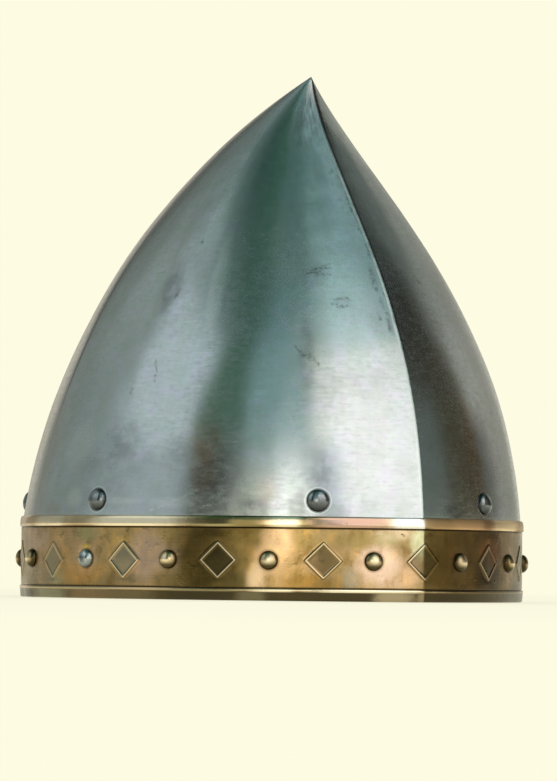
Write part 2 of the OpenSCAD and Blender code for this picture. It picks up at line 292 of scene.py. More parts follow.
class Nodes:
    """Short ways to add nodes to one tree and join them."""

    def __init__(self, tree):
        self.tree = tree

    def add(self, kind, values=None, **settings):
        node = self.tree.nodes.new(kind)
        for key, value in settings.items():
            setattr(node, key, value)
        for key, value in (values or {}).items():
            self.put(node.inputs[key], value)
        return node

    def value(self, socket):
        return Value(socket, self.vector if socket.type in ("VECTOR", "RGBA") else self.math)

    def new(self, kind, values=None, output=0, **settings):
        """Adds a node and gives one of its outputs."""
        return self.value(self.add(kind, values, **settings).outputs[output])

    def put(self, socket, value):
        if isinstance(value, Value):
            self.tree.links.new(value.socket, socket)
        else:
            socket.default_value = value

    def math(self, operation, a, b=0.0, clamp=False):
        return self.new("ShaderNodeMath", {0: a, 1: b}, operation=operation, use_clamp=clamp)

    def vector(self, operation, a, b=(0, 0, 0)):
        output = "Value" if operation in ("LENGTH", "DISTANCE", "DOT_PRODUCT") else "Vector"
        return self.new("ShaderNodeVectorMath", {0: a, 1: b}, output, operation=operation)

    def remap(self, *values):
        """Smoothly from between two values to between two others, or to between 0 and 1."""
        return self.new("ShaderNodeMapRange", dict(enumerate(values)), interpolation_type="SMOOTHSTEP")

    def near(self, value, middle, inside, outside, most=1.0):
        """Most within a distance of the middle, falling to 0 outside it."""
        return self.remap(abs(value - middle), inside, outside, most, 0.0)

    def most(self, values):
        return functools.reduce(lambda a, b: self.math("MAXIMUM", a, b), values)

    def mix(self, share, a, b, blend="MIX"):
        a, b = (tone + (1,) if isinstance(tone, tuple) else tone for tone in (a, b))
        return self.new("ShaderNodeMix", {0: share, 6: a, 7: b}, 2, data_type="RGBA", blend_type=blend)

    def layers(self, colour, *rows):
        """Lays tones over a colour one after another, each where its share says."""
        for share, tone in rows:
            colour = self.mix(share, colour, tone)
        return colour

    def noise(self, place, scale, detail=2.0, rough=0.5, output=0):
        return self.new("ShaderNodeTexNoise", {"Vector": place, "Scale": scale, "Detail": detail,
                                               "Roughness": rough}, output)

    def group(self, group, *values):
        return self.new("ShaderNodeGroup", dict(enumerate(values)), node_tree=group)

    def attribute(self, label, output="Fac"):
        return self.new("ShaderNodeAttribute", output=output, attribute_name=label)

    def join(self, x=0.0, y=0.0, z=0.0):
        return self.new("ShaderNodeCombineXYZ", {0: x, 1: y, 2: z})

    def split(self, vector):
        return [self.value(part) for part in self.add("ShaderNodeSeparateXYZ", {0: vector}).outputs]


def node_group(name, family, output, inputs):
    """An empty node group with one output. Gives its nodes, its output's socket and its inputs.

    Each input has a start value, or else the name of its kind.
    """
    group = bpy.data.node_groups.new(name, family + "NodeTree")
    for label, value in inputs.items():
        kind = {float: "Float", int: "Int"}.get(type(value), value)
        socket = group.interface.new_socket(label, in_out="INPUT", socket_type="NodeSocket" + kind)
        if kind != value:
            socket.default_value = value
    kind = "NodeSocketFloat" if family == "Shader" else "NodeSocketGeometry"
    group.interface.new_socket(output, in_out="OUTPUT", socket_type=kind)
    n = Nodes(group)
    given = n.add("NodeGroupInput")
    out = n.add("NodeGroupOutput")
    return n, out.inputs[0], *(n.value(socket) for socket in given.outputs[:-1])


# Shader groups
def brushing_group():
    """Fine level lines from an abrasive wheel: 0 in a line's bottom, 1 on its crest."""
    n, out, place, lines, runs = node_group("brushing", "Shader", "Lines", {
        "Place": "Vector", "Lines per metre": 600.0, "Runs per metre": 50.0})
    n.put(out, n.noise(place * n.join(runs, runs, lines), 1.0, 3.0, 0.6))
    return n.tree


def clouding_group():
    """Soft patches of tarnish and handling: 0 clean, 1 marked."""
    n, out, place, patches, low, high = node_group("clouding", "Shader", "Marked", {
        "Place": "Vector", "Patches per metre": 20.0, "Low": 0.4, "High": 0.65})
    n.put(out, n.remap(n.noise(place, patches, 4.0, 0.55), low, high))
    return n.tree


def scratch_group():
    """A scuff between two points, broken up along its length: 1 in its middle, 0 outside."""
    n, out, place, start, end, width = node_group("scuff", "Shader", "Mark", {
        "Place": "Vector", "From": "Vector", "To": "Vector", "Width": 0.001})
    waver = (n.noise(place, 420.0, output="Color") - (0.5, 0.5, 0.5)) * (0.003, 0.003, 0.003)
    line = end - start
    off = place + waver - start
    share = n.math("DIVIDE", n.vector("DOT_PRODUCT", off, line), n.vector("DOT_PRODUCT", line, line),
                   clamp=True)
    nearest = n.new("ShaderNodeVectorMath", {0: line, "Scale": share}, operation="SCALE")
    edge = n.remap(n.vector("LENGTH", off - nearest) / width, 0.0, 1.25, 1.0, 0.0)
    broken = n.remap(n.noise(place, 800.0, 3.0), 0.36, 0.60, 0.12, 1.0)
    n.put(out, n.math("MULTIPLY", edge, broken, clamp=True))
    return n.tree


def rim_group():
    """A thin ring at a set distance from a point, as round a rivet's seat."""
    n, out, place, centre, radius, width = node_group("seat_ring", "Shader", "Ring", {
        "Place": "Vector", "Centre": "Vector", "Radius": 0.005, "Width": 0.0006})
    n.put(out, n.remap(abs(n.vector("DISTANCE", place, centre) - radius) / width, 0.2, 1.0, 1.0, 0.0))
    return n.tree


def patch_group():
    """A stain with a ragged edge, placed on a piece's own map: 1 in its middle, 0 outside."""
    n, out, chart, centre, reach, ragged = node_group("patch", "Shader", "Stain", {
        "Map": "Vector", "Centre": "Vector", "Reach": "Vector", "Ragged": 0.5})
    away = n.vector("LENGTH", (chart - centre) / reach)
    n.put(out, n.remap(away + (n.noise(chart, 160.0, 4.0) - 0.5) * ragged, 0.35, 1.1, 1.0, 0.0))
    return n.tree


BRUSHING = brushing_group()
CLOUDING = clouding_group()
SCUFF = scratch_group()
SEAT_RING = rim_group()
PATCH = patch_group()


# Materials
def cleared(made):
    """Turns on the nodes of a material or world, and takes out those that come with it."""
    made.use_nodes = True
    made.node_tree.nodes.clear()
    return Nodes(made.node_tree)


def blank_material(name):
    made = bpy.data.materials.new(name)
    n = cleared(made)
    surface = n.add("ShaderNodeBsdfPrincipled")
    n.add("ShaderNodeOutputMaterial", {0: n.value(surface.outputs[0])})
    return made, n, surface, n.new("ShaderNodeTexCoord", output="Object")


def dress(n, surface, colour, rough, metallic, height, strength, distance):
    """Gives a surface its colour, roughness and the relief of a height."""
    bump = n.new("ShaderNodeBump", {"Strength": strength, "Distance": distance * MM, "Height": height})
    n.put(surface.inputs["Base Color"], colour)
    n.put(surface.inputs["Roughness"], rough)
    n.put(surface.inputs["Metallic"], metallic)
    n.put(surface.inputs["Normal"], bump)


def in_metres(point):
    return tuple(float(x) * MM for x in point)


def on_skull(u, z):
    return in_metres(skull_point(u, z))


def on_strip(u, z):
    return in_metres(band_point(np.float64(u), np.float64(z), np.float64(BAND_FACE)))


def stain(n, chart, u, z, reach_along, reach_up, *ragged):
    """A stain on a piece's map: its step, its height in mm, and its reach in mm."""
    return n.group(PATCH, chart, (u * STEP_LENGTH * MM, z * MM, 0), (reach_along * MM, reach_up * MM, 1),
                   *ragged)


# Dark marks and light scratches on the plates: step and height of both ends, width in mm.
DARK_SCUFFS = [
    (2.18, 131.2, 1.75, 131.6, 0.9), (1.95, 130.2, 1.55, 130.9, 0.8), (2.02, 132.9, 1.5, 133.4, 0.8),
    (1.7, 134.6, 1.5, 135, 0.6), (1.58, 118.6, 1.4, 119.3, 0.9), (1.48, 120.6, 1.12, 121.2, 0.8),
    (1.45, 117.5, 1.2, 118, 0.7), (1.12, 121.2, 1.1, 120.2, 0.7), (2.58, 100.9, 2.38, 98.6, 0.8),
    (2.4, 98.4, 2.16, 96, 1.6), (2.1, 94.4, 2.04, 93.7, 0.8), (5.95, 121.6, 5.9, 125.1, 1),
    (5.98, 95.4, 5.88, 91.6, 0.6), (5.88, 89.8, 5.88, 86.6, 0.8), (6.45, 82.4, 6.45, 84.4, 0.8),
    (5.71, 146.2, 5.67, 144.2, 0.9), (0.42, 175.6, 0.55, 174.4, 0.9), (0.15, 166.2, 0.15, 163, 0.6),
    (0.2, 161.6, 0.17, 158, 0.8), (0.14, 157, 0.12, 153.4, 0.6), (0.15, 151, 0.14, 149, 0.8),
    (0.12, 144, 0.14, 138.5, 0.6), (0.28, 133, 0.29, 130.8, 0.6), (0.3, 129.2, 0.3, 125, 1.2),
    (0.1, 123.6, 0.08, 121.4, 0.5), (0.22, 121.2, 0.21, 117.4, 0.8), (0.4, 115.4, 0.39, 112.6, 0.8),
    (0.16, 115.6, 0.18, 111.6, 0.9), (0.2, 110.8, 0.21, 108.4, 1.2), (-1.66, 129.4, -1.5, 131.8, 0.8),
    (11.2, 90, 11.6, 88.8, 0.8), (-12.4, 130, -12.1, 128.6, 0.9)]
LIGHT_SCUFFS = [
    (3.43, 98.6, 3.3, 101.8, 0.5), (3.25, 123, 3.2, 125, 0.4), (5.45, 34.8, 4.5, 42.8, 0.6),
    (4.7, 36, 3.95, 42.4, 0.6), (4.35, 36.4, 3.8, 39.8, 0.5), (12, 120, 12.3, 112, 0.7),
    (-12.4, 88, -12, 84, 0.7)]
# Dark patches on the plates: step, height, reach along and up in mm, and how dark. Some are oily hand
# marks; others are painted shade, as along the top of the band and round the rivet at step 2.
OIL_AND_SHADE_MARKS = [
    (2.05, 50, 9, 15, 0.42), (3.7, 46, 12, 12, 0.25), (6.2, 55, 22, 9, 0.24), (6.42, 61, 14, 16, 0.42),
    (2.28, 96, 6, 24, 0.42), (0.9, 206, 14, 12, 0.9), (4.95, 58, 11, 10, 0.32), (6.2, 124, 11, 16, 0.46),
    (1.85, 49, 8, 21, 0.17), (1.1, 38, 6, 4, 0.2), (6.7, 41, 15, 7, 0.22), (3.38, 36, 11, 8, 0.6),
    (-0.9, 35.5, 9, 5, 0.5), (2.46, 37, 5, 9, 0.55), (1.75, 36, 9, 7, 0.25), (1.75, 84, 10, 11, 0.16),
    (6.5, 43, 12, 10, 0.22), (7, 54, 12, 12, 0.2), (4.1, 47, 18, 15, 0.44), (1.1, 186, 9, 30, 0.16),
    (1, 87, 18, 9, 0.16), (8.5, 200, 12, 20, 0.1), (1.2, 205, 44, 26, 0.66), (1.85, 132.2, 8.5, 4.5, 0.3),
    (1.32, 119.4, 7, 4, 0.24), (2.28, 97.2, 4.5, 3.5, 0.24), (0.24, 131, 2.2, 6, 0.34),
    (0.22, 119, 1.8, 4, 0.26), (0.16, 110, 2, 4.5, 0.42), (0.42, 116, 1.6, 4, 0.2),
    (0.5, 110, 6, 7, 0.22), (3.4, 110, 20, 14, 0.15), (6.1, 110, 14, 12, 0.15), (2, 131, 10, 9, 0.16),
    (8.9, 160, 8, 22, 0.22), (8.2, 84, 16, 30, 0.08), (-2.3, 60, 18, 22, 0.2), (-3.2, 40, 30, 8, 0.15),
    (11.5, 70, 40, 34, 0.25), (-12, 90, 50, 40, 0.25)]
# Lighter patches, in the same numbers: partly places that hands have kept bright, partly painted highlight
# where the plates look lit.
RUBBED_AND_HIGHLIGHT_MARKS = [
    (-1.7, 200, 36, 17, 0.75), (-3.6, 193, 42, 15, 0.85), (-13, 176, 60, 20, 0.4),
    (7.5, 40.5, 7, 5, 0.32), (4.9, 38.5, 14, 3, 0.3), (6.3, 39, 16, 1.8, 0.26), (2.72, 62, 8, 26, 0.24),
    (4.72, 128, 6.5, 23, 0.45), (5.4, 152, 10, 18, 0.2), (2.7, 172, 30, 56, 0.36),
    (2.1, 146, 16, 17, 0.18), (7.7, 62, 12, 12, 0.2), (-2.6, 64, 8, 10, 0.2)]
# Brown places where old oil has dried, in the same numbers.
BROWN_MARKS = [
    (4.35, 56, 9, 24, 0.85), (-1.7, 62, 9, 30, 0.6), (8.2, 36, 9, 4, 0.4), (3.1, 44, 6, 8, 0.4),
    (-12, 60, 20, 14, 0.5), (11, 120, 16, 20, 0.4)]


def skull_steel():
    """Brushed sheet steel with a blue-green cast, oiled and handled, with painted shade and painted
    highlights.
    """
    made, n, surface, place = blank_material("skull_steel")
    chart = n.new("ShaderNodeUVMap", uv_map="surface")
    along, height_up, _ = n.split(chart)
    lines = n.group(BRUSHING, place, 760.0, 170.0)
    fine = n.group(BRUSHING, place, 1900.0, 420.0)
    cloud = n.group(CLOUDING, place, 16.0, 0.38, 0.66)
    mottle = n.group(CLOUDING, place, 90.0, 0.35, 0.7)
    wipes = n.noise(chart * (130.0, 22.0, 1.0), 1.0, 3.0)
    tint = n.noise(chart * (105.0, 150.0, 1.0), 1.0, 4.0, 0.6)
    rubbed = n.noise(chart * (150.0, 950.0, 1.0), 1.0, 3.0, 0.55)
    blotches = n.noise(chart * (330.0, 420.0, 1.0), 1.0, 3.0, 0.6)
    grain = rubbed * 0.45 + blotches * 0.55

    def scuffs(rows):
        return [n.group(SCUFF, place, on_skull(u, z), on_skull(to_u, to_z), width * MM)
                for u, z, to_u, to_z, width in rows]

    def seats(radius, width):
        return [n.group(SEAT_RING, place, on_skull(u, RIVET_HEIGHT), radius * MM, width * MM)
                for u in RIVET_STATIONS]

    # Round each rivet seat: a painted highlight ring at 5.2 mm, and a painted shadow ring at 4.6 mm where
    # the dome meets the plate.
    light = n.most(scuffs(LIGHT_SCUFFS) + [seat * 0.8 for seat in seats(5.2, 0.4)])
    dark = n.most(scuffs(DARK_SCUFFS) + seats(4.6, 0.5))
    bright = n.most([stain(n, chart, *mark) * strength for *mark, strength in RUBBED_AND_HIGHLIGHT_MARKS])
    ragged = n.remap(n.noise(chart, 160.0, 4.0), 0.34, 0.62, 0.6, 1.2)
    side_ridge = n.near(abs(along), FRONT_STEPS * STEP_LENGTH * MM, 0.3 * MM, 1.1 * MM, 0.8)
    seam = side_ridge * n.remap(height_up, 62 * MM, 95 * MM, 0.15, 1.0)
    # The front ridge: a painted highlight along its edge, partly a rubbed-bright edge, and a line of
    # painted shade in its lee.
    beside = n.split(place)[0]
    edge = n.remap(abs(beside + 0.4 * MM), 0.3 * MM, 0.85 * MM, 0.85, 0.0) * (
        n.remap(n.noise(place, 170.0, 2.0), 0.3, 0.55, 0.55, 1.0)
        * n.remap(height_up, 168 * MM, 198 * MM, 1.0, 0.2))
    lee_shade = n.near(beside, 0.7 * MM, 0.3 * MM, 0.95 * MM, 0.62) * n.remap(
        height_up, 85 * MM, 120 * MM, 0.1, 1.0)
    tip = n.remap(n.vector("DISTANCE", place, on_skull(0.0, SKULL_HEIGHT)), 0.8 * MM, 2.0 * MM, 0.8, 0.0)
    colour = n.layers(
        n.mix(cloud, (0.60, 0.645, 0.655), (0.51, 0.57, 0.575)),
        (n.remap(wipes, 0.45, 0.68, 0.0, 0.45), (0.53, 0.555, 0.525)),
        (n.remap(wipes, 0.50, 0.30, 0.0, 0.40), (0.545, 0.59, 0.64)),
        (n.remap(tint, 0.48, 0.66, 0.0, 0.55), (0.50, 0.585, 0.545)),
        (n.remap(tint, 0.50, 0.34, 0.0, 0.65), (0.61, 0.60, 0.69)),
        (mottle * 0.35, (0.48, 0.50, 0.49)),
        (n.remap(grain, 0.49, 0.33, 0.0, 0.27), (0.36, 0.40, 0.39)),
        (n.remap(grain, 0.51, 0.68, 0.0, 0.15), (0.78, 0.81, 0.82)),
        (n.remap(lines, 0.35, 0.7, 0.0, 0.09), (0.38, 0.42, 0.42)),
        (bright, (0.90, 0.92, 0.90)),
        (n.attribute("brown") * ragged, (0.50, 0.39, 0.31)),
        # Oily marks and painted shade.
        (n.attribute("oil_and_shade") * ragged, (0.13, 0.145, 0.15)),
        (n.most([dark * 0.62, n.most([seam, lee_shade])]), (0.12, 0.12, 0.11)),
        (n.most([light * 0.5, edge]), (0.80, 0.90, 0.89)),
        (tip, (0.10, 0.12, 0.12)))
    dressed = n.remap(bright, 0.35, 0.8, 0.0, 0.8) * n.remap(height_up, 150 * MM, 180 * MM)
    rough = (n.remap(cloud, 0, 1, 0.17, 0.22) + n.remap(lines, 0.3, 0.7, 0.0, 0.04)
             + n.most([edge, dressed]) * 0.28 + n.remap(grain, 0.35, 0.65, 0.05, -0.02))
    dress(n, surface, colour, rough, 1.0, lines * 0.6 + fine * 0.4, 0.24, 0.028)
    return made


# Stains, rubbed places and painted light on the strip: step, height, reach in steps and up in mm, colour,
# strength. The darkest patches, near step 4 and at steps -1.5 to -2, are painted dark reflection; the
# light ones near step 3 are painted highlight; the small amber one above the steel stud is a painted
# reflection.
STRIP_STAINS_AND_PAINTED_LIGHT = [
    (4.28, 16, 0.8, 30, (0.082, 0.06, 0.018), 0.9), (3.42, 25.5, 0.6, 6, (0.19, 0.135, 0.042), 0.8),
    (3.28, 7.5, 0.25, 7, (0.8, 0.58, 0.36), 0.6), (3.9, 5, 0.4, 3.6, (0.17, 0.13, 0.05), 0.6),
    (8.8, 24, 0.7, 7, (0.5, 0.37, 0.29), 0.6), (7, 26, 0.4, 4.5, (0.29, 0.3, 0.15), 0.6),
    (7.95, 9, 0.4, 5, (0.27, 0.31, 0.2), 0.6), (7.2, 10, 1, 5.5, (0.52, 0.28, 0.09), 0.55),
    (5.5, 17, 0.5, 14, (0.5, 0.35, 0.27), 0.7), (8.8, 8, 0.8, 8, (0.27, 0.23, 0.17), 0.6),
    (6.15, 6.5, 0.7, 6, (0.23, 0.17, 0.085), 0.65), (5, 7.5, 0.5, 6.5, (0.17, 0.125, 0.05), 0.7),
    (2.8, 23, 0.42, 9, (0.74, 0.5, 0.29), 0.8), (2.75, 9, 0.35, 7, (0.56, 0.36, 0.17), 0.7),
    (2.42, 7, 0.42, 6.5, (0.28, 0.175, 0.045), 0.8), (2.15, 6.5, 0.6, 5, (0.3, 0.18, 0.05), 0.85),
    (2, 25.5, 0.6, 4, (0.58, 0.41, 0.18), 0.6), (0.7, 12, 0.85, 11, (0.68, 0.47, 0.3), 0.75),
    (1.45, 9, 0.2, 6.5, (0.42, 0.4, 0.33), 0.35), (3.7, 7, 0.4, 6.5, (0.12, 0.092, 0.034), 0.8),
    (3.22, 8, 0.22, 8, (0.86, 0.62, 0.4), 0.75), (2.36, 24.5, 0.3, 6, (0.34, 0.24, 0.08), 0.7),
    (-1.75, 16, 0.36, 26, (0.055, 0.038, 0.018), 0.65), (-4, 5, 1.3, 10, (0.1, 0.078, 0.045), 0.7),
    (0.9, 15, 0.48, 9.5, (0.86, 0.62, 0.48), 0.7), (0.6, 27, 0.5, 3.6, (0.86, 0.66, 0.46), 0.7),
    (0.32, 9.5, 0.24, 5, (0.66, 0.41, 0.21), 0.7), (1.35, 24.5, 0.5, 5, (0.31, 0.225, 0.08), 0.75),
    (0.75, 25, 0.4, 4.5, (0.5, 0.42, 0.22), 0.6), (0.06, 24, 0.26, 9, (0.74, 0.73, 0.46), 0.85),
    (0.6, 2, 0.35, 2.2, (0.45, 0.36, 0.24), 0.6), (-1.5, 16, 2.3, 26, (0.12, 0.073, 0.02), 0.88),
    (-2.1, 9, 0.7, 12, (0.07, 0.05, 0.025), 0.75), (-2.1, 21, 0.55, 9, (0.2, 0.075, 0.02), 0.65),
    (7, 20.8, 0.17, 1.1, (0.62, 0.47, 0.12), 0.8), (-4.3, 14, 1.1, 20, (0.18, 0.135, 0.075), 0.75),
    (-9.4, 14, 1.2, 12, (0.24, 0.17, 0.07), 0.7), (-12.2, 24, 0.9, 7, (0.5, 0.33, 0.22), 0.6),
    (13.2, 12, 1.3, 13, (0.22, 0.17, 0.07), 0.7), (10.8, 23, 0.7, 8, (0.5, 0.36, 0.25), 0.6),
    (-6.6, 10, 0.8, 7, (0.5, 0.3, 0.11), 0.6)]
# Bright and dull stretches of the upper hem, the bead on the lower hem and its foot: step, reach in
# steps, colour, strength. The bright stretches are partly painted highlight, and the dark ones on the
# foot partly painted shade.
HEM_STRETCHES = [
    (8.2, 0.8, (0.97, 0.8, 0.58), 0.85), (5.75, 1.3, (1, 0.84, 0.6), 1),
    (3.95, 0.75, (0.42, 0.35, 0.17), 0.8), (3.4, 0.35, (0.26, 0.2, 0.08), 0.8),
    (2.65, 0.42, (1, 0.85, 0.57), 1), (2.2, 0.32, (0.25, 0.19, 0.08), 0.88),
    (1.4, 0.9, (0.6, 0.39, 0.3), 0.95), (0.2, 0.62, (0.98, 0.95, 0.9), 0.95),
    (-1.2, 1.2, (0.66, 0.42, 0.23), 0.95), (-2.05, 0.4, (0.36, 0.2, 0.1), 0.85),
    (-0.45, 0.45, (0.5, 0.33, 0.17), 0.9), (-2.9, 0.9, (1, 0.78, 0.5), 0.9),
    (-8.5, 1.4, (0.9, 0.7, 0.45), 0.7), (12, 1.6, (0.9, 0.74, 0.5), 0.7),
    (-13, 1.2, (0.34, 0.26, 0.12), 0.7), (10, 0.6, (0.4, 0.3, 0.15), 0.7)]
BEAD_STRETCHES = [
    (1.1, 1.3, (1, 0.9, 0.68), 1), (2.9, 0.5, (1, 0.86, 0.62), 0.9), (4.3, 1, (0.3, 0.25, 0.13), 0.8),
    (7.6, 1.7, (0.42, 0.35, 0.21), 0.65), (-2.5, 3.2, (0.13, 0.098, 0.04), 0.92),
    (-11, 2, (0.4, 0.3, 0.16), 0.6)]
FOOT_STRETCHES = [
    (8.2, 0.8, (0.24, 0.235, 0.15), 0.9), (6.9, 0.9, (0.23, 0.16, 0.085), 0.85),
    (5.9, 0.8, (0.175, 0.135, 0.075), 0.8), (3.35, 0.35, (0.19, 0.165, 0.1), 0.85),
    (0.6, 0.5, (0.42, 0.34, 0.22), 0.95), (0, 0.15, (0.36, 0.28, 0.17), 0.8),
    (-3.6, 2.8, (0.08, 0.063, 0.032), 0.88), (-9, 2.2, (0.16, 0.12, 0.06), 0.6),
    (13, 1.8, (0.2, 0.15, 0.08), 0.6)]
# Heights of the painted shade lines in the grooves beside both hems, and of the painted highlight on the
# crest of the bead, in mm.
UPPER_LINE = 28.7
LOWER_LINE = 5.05
BEAD_CREST = 4.3


def strip_detail(n, place, colour, rough):
    """What the strip has of its own: stains, lozenges and hems, with painted shade and painted highlights.
    """
    chart = n.new("ShaderNodeUVMap", uv_map="surface")
    along, height, _ = n.split(chart)
    step = along / (STEP_LENGTH * MM)
    side = abs(n.math("FLOORED_MODULO", step, 2.0) - 1.0) * (STEP_LENGTH * MM)
    rise = height - STUD_HEIGHT * MM
    from_stud = n.math("SQRT", side * side + rise * rise)
    diamond, tarnish, grey, shine = (n.attribute(label) for label in LOZENGE_LOOKS)
    inside = n.remap(diamond, 0.80, 0.86, 1.0, 0.0)
    wearer_right = n.remap(step, -0.02, 0.02)
    wearer_left = 1.0 - wearer_right

    def line(middle, width):
        return n.math("SUBTRACT", 1.0, abs((diamond - middle) / width), clamp=True)

    def kept(mask, u, steps):
        """Keeps a mark that is few steps from the front ridge on its own side of it."""
        if abs(u) >= steps:
            return mask
        return mask * (wearer_right if u >= 0 else wearer_left)

    colour = n.mix(n.remap(from_stud, 4.5 * MM, 8.2 * MM, 1.0, 0.0) * 0.55, colour, (0.60, 0.42, 0.27))
    for u, z, reach_along, reach_up, shade, strength in STRIP_STAINS_AND_PAINTED_LIGHT:
        mark = kept(stain(n, chart, u, z, reach_along * STEP_LENGTH, reach_up), u, 5)
        colour = n.mix(mark * strength, colour, shade)
    streaks = n.noise(chart * (150.0, 85.0, 1.0), 1.0, 4.0, 0.6)
    colour = n.mix(n.remap(streaks, 0.50, 0.68, 0.0, 0.28), colour, (1.0, 0.78, 0.46), "OVERLAY")
    colour = n.mix(n.remap(streaks, 0.50, 0.33, 0.0, 0.5), colour, (0.55, 0.46, 0.24), "MULTIPLY")
    # Painted shadow just outside each lozenge's line, and a painted shadow ring where each stud meets the
    # strip.
    foot = line(1.01, 0.035) * n.remap(shine, 0.0, 0.6, 0.1, 1.0)
    painted_shade = n.remap(from_stud, 3.6 * MM, 4.9 * MM, 1.0, 0.0)
    # Painted shade in the grooves beside both hems.
    groove_shade = n.most([n.near(height, UPPER_LINE * MM, 0.25 * MM, 0.7 * MM),
                       n.near(height, LOWER_LINE * MM, 0.2 * MM, 0.6 * MM)])
    # Painted highlight on the upper hem's face and on the bead's crest, where the brass is also made less
    # rough.
    rub_and_highlight = n.most([n.remap(height, 29.1 * MM, 30.2 * MM, 0.0, 0.55),
                  n.near(height, BEAD_CREST * MM, 0.2 * MM, 0.7 * MM) * 0.7])
    colour = n.layers(
        colour,
        (inside * tarnish, (0.07, 0.055, 0.024)),
        (inside * grey, (0.27, 0.23, 0.155)),
        # Painted highlight on the crest of each lozenge's line, as strong as its shine.
        (line(0.915, 0.065) * shine, (1.0, 0.84, 0.57)),
        (n.most([foot, painted_shade]) * 0.65, (0.16, 0.105, 0.045)),
        (groove_shade * 0.85, (0.11, 0.075, 0.035)),
        # Painted shade on the lower hem's foot, which faces down.
        (n.remap(height, 3.2 * MM, 4.2 * MM, 0.95, 0.0), (0.062, 0.05, 0.027)),
        (rub_and_highlight, (0.80, 0.62, 0.40)))
    on_hem = n.remap(height, 28.8 * MM, 29.2 * MM)
    on_bead = n.near(height, 4.15 * MM, 0.4 * MM, 0.9 * MM)
    on_foot = n.remap(height, 3.1 * MM, 3.7 * MM, 1.0, 0.0)
    for rows, level, within in ((HEM_STRETCHES, 31.5, on_hem), (BEAD_STRETCHES, 4.2, on_bead),
                                (FOOT_STRETCHES, 1.6, on_foot)):
        for u, reach_along, shade, strength in rows:
            stretch = kept(stain(n, chart, u, level, reach_along * STEP_LENGTH, 12, 0.7), u, 3)
            colour = n.mix(stretch * within * strength, colour, shade)
    nick = n.group(SCUFF, place, on_strip(0.45, 26.6), on_strip(0.43, 26.2), 0.8 * MM)
    colour = n.mix(nick, colour, (0.06, 0.05, 0.04))
    return colour, rough - rub_and_highlight * 0.10 + on_hem * wearer_left * 0.24


def stud_detail(n, place, colour, rough):
    """What the studs have of their own: a painted highlight on their tops, painted shade on their rims and
    undersides.
    """
    out = n.attribute("from_middle")
    rise = n.split(place)[2] - STUD_HEIGHT * MM
    # Painted highlight on the top, painted shade on the underside and the rim.
    colour = n.layers(
        colour,
        (n.remap(out, 0.6 * MM, 2.8 * MM, 0.9, 0.2), (1.0, 0.84, 0.58)),
        (n.remap(rise, -2.4 * MM, -0.1 * MM, 0.94, 0.0), (0.065, 0.05, 0.02)),
        (n.remap(out, 2.5 * MM, 3.6 * MM, 0.0, 0.94), (0.05, 0.038, 0.014)))
    return colour, rough


def aged_brass(name, detail):
    """Aged brass: golden where it is rubbed, olive and brown where it has tarnished."""
    made, n, surface, place = blank_material(name)
    stains = n.group(CLOUDING, place, 34.0, 0.40, 0.62)
    pink = n.group(CLOUDING, place + (0.7, 0.2, 0.4), 26.0, 0.48, 0.66)
    specks = n.group(CLOUDING, place, 260.0, 0.56, 0.72)
    lines = n.group(BRUSHING, place, 1100.0, 60.0)
    colour = n.layers(
        n.mix(stains, (0.445, 0.30, 0.128), (0.265, 0.187, 0.07)),
        (pink * 0.6, (0.47, 0.31, 0.19)),
        (specks * 0.45, (0.16, 0.11, 0.05)))
    colour, rough = detail(n, place, colour, n.remap(stains, 0, 1, 0.19, 0.30))
    dress(n, surface, colour, rough, 1.0, lines * 0.5 + specks, 0.4, 0.05)
    return made


def bright_steel(name, colour, dull, low, high, rim, middle, painted_dark_middle=0.0, underside_shade=0.95):
    """Rivet steel: polished domes that have dulled in spots, with painted shade on their rims and
    undersides.
    """
    made, n, surface, place = blank_material(name)
    spots = n.group(CLOUDING, place, 330.0, 0.45, 0.7)
    out = n.attribute("from_middle")
    rise = n.split(place)[2] - middle * MM
    # Painted shade on each dome's rim and underside.
    painted_shade = n.most([n.remap(out, rim * 0.78, rim * 1.0, 0.0, 0.9),
                    n.remap(rise, -rim * 0.95, rim * 0.5, underside_shade, 0.0)])
    colour = n.layers(
        n.mix(spots, colour, dull),
        # A painted dark middle, used on the stud.
        (n.remap(out, rim * 0.15, rim * 0.6, painted_dark_middle, 0.0), (0.13, 0.16, 0.155)),
        (painted_shade, (0.028, 0.033, 0.034)))
    dress(n, surface, colour, n.remap(spots, 0, 1, low, high), 1.0, spots, 0.3, 0.1)
    return made


def liner_leather():
    """Vegetable-tanned leather: pebbled grain and creases, darker in patches."""
    made, n, surface, place = blank_material("liner_leather")
    warm = n.group(CLOUDING, place, 22.0, 0.35, 0.7)
    grain = n.new("ShaderNodeTexVoronoi", {"Vector": place, "Scale": 900.0}, feature="F1")
    pores = n.noise(place, 2600.0, 2.0)
    creases = n.noise(place * (60, 60, 240), 1.0, 3.0)
    colour = n.layers(
        n.mix(warm, (0.30, 0.155, 0.075), (0.20, 0.10, 0.05)),
        (n.remap(grain, 0.2, 0.7, 0.0, 0.35), (0.11, 0.055, 0.03)))
    height = (1.0 - grain) * 0.7 + (pores * 0.2 + creases * 0.6)
    dress(n, surface, colour, n.remap(creases, 0.3, 0.7, 0.52, 0.72), 0.0, height, 0.6, 0.3)
    surface.inputs["Specular IOR Level"].default_value = 0.4
    return made


def waxed_thread():
    """Undyed linen thread, waxed: a twist of two plies."""
    made, n, surface, place = blank_material("waxed_thread")
    plies = n.new("ShaderNodeTexWave", {"Vector": place, "Scale": 700.0, "Distortion": 1.0}, "Fac")
    colour = n.mix(plies, (0.55, 0.45, 0.29), (0.74, 0.64, 0.45))
    dress(n, surface, colour, 0.6, 0.0, plies, 0.4, 0.2)
    return made


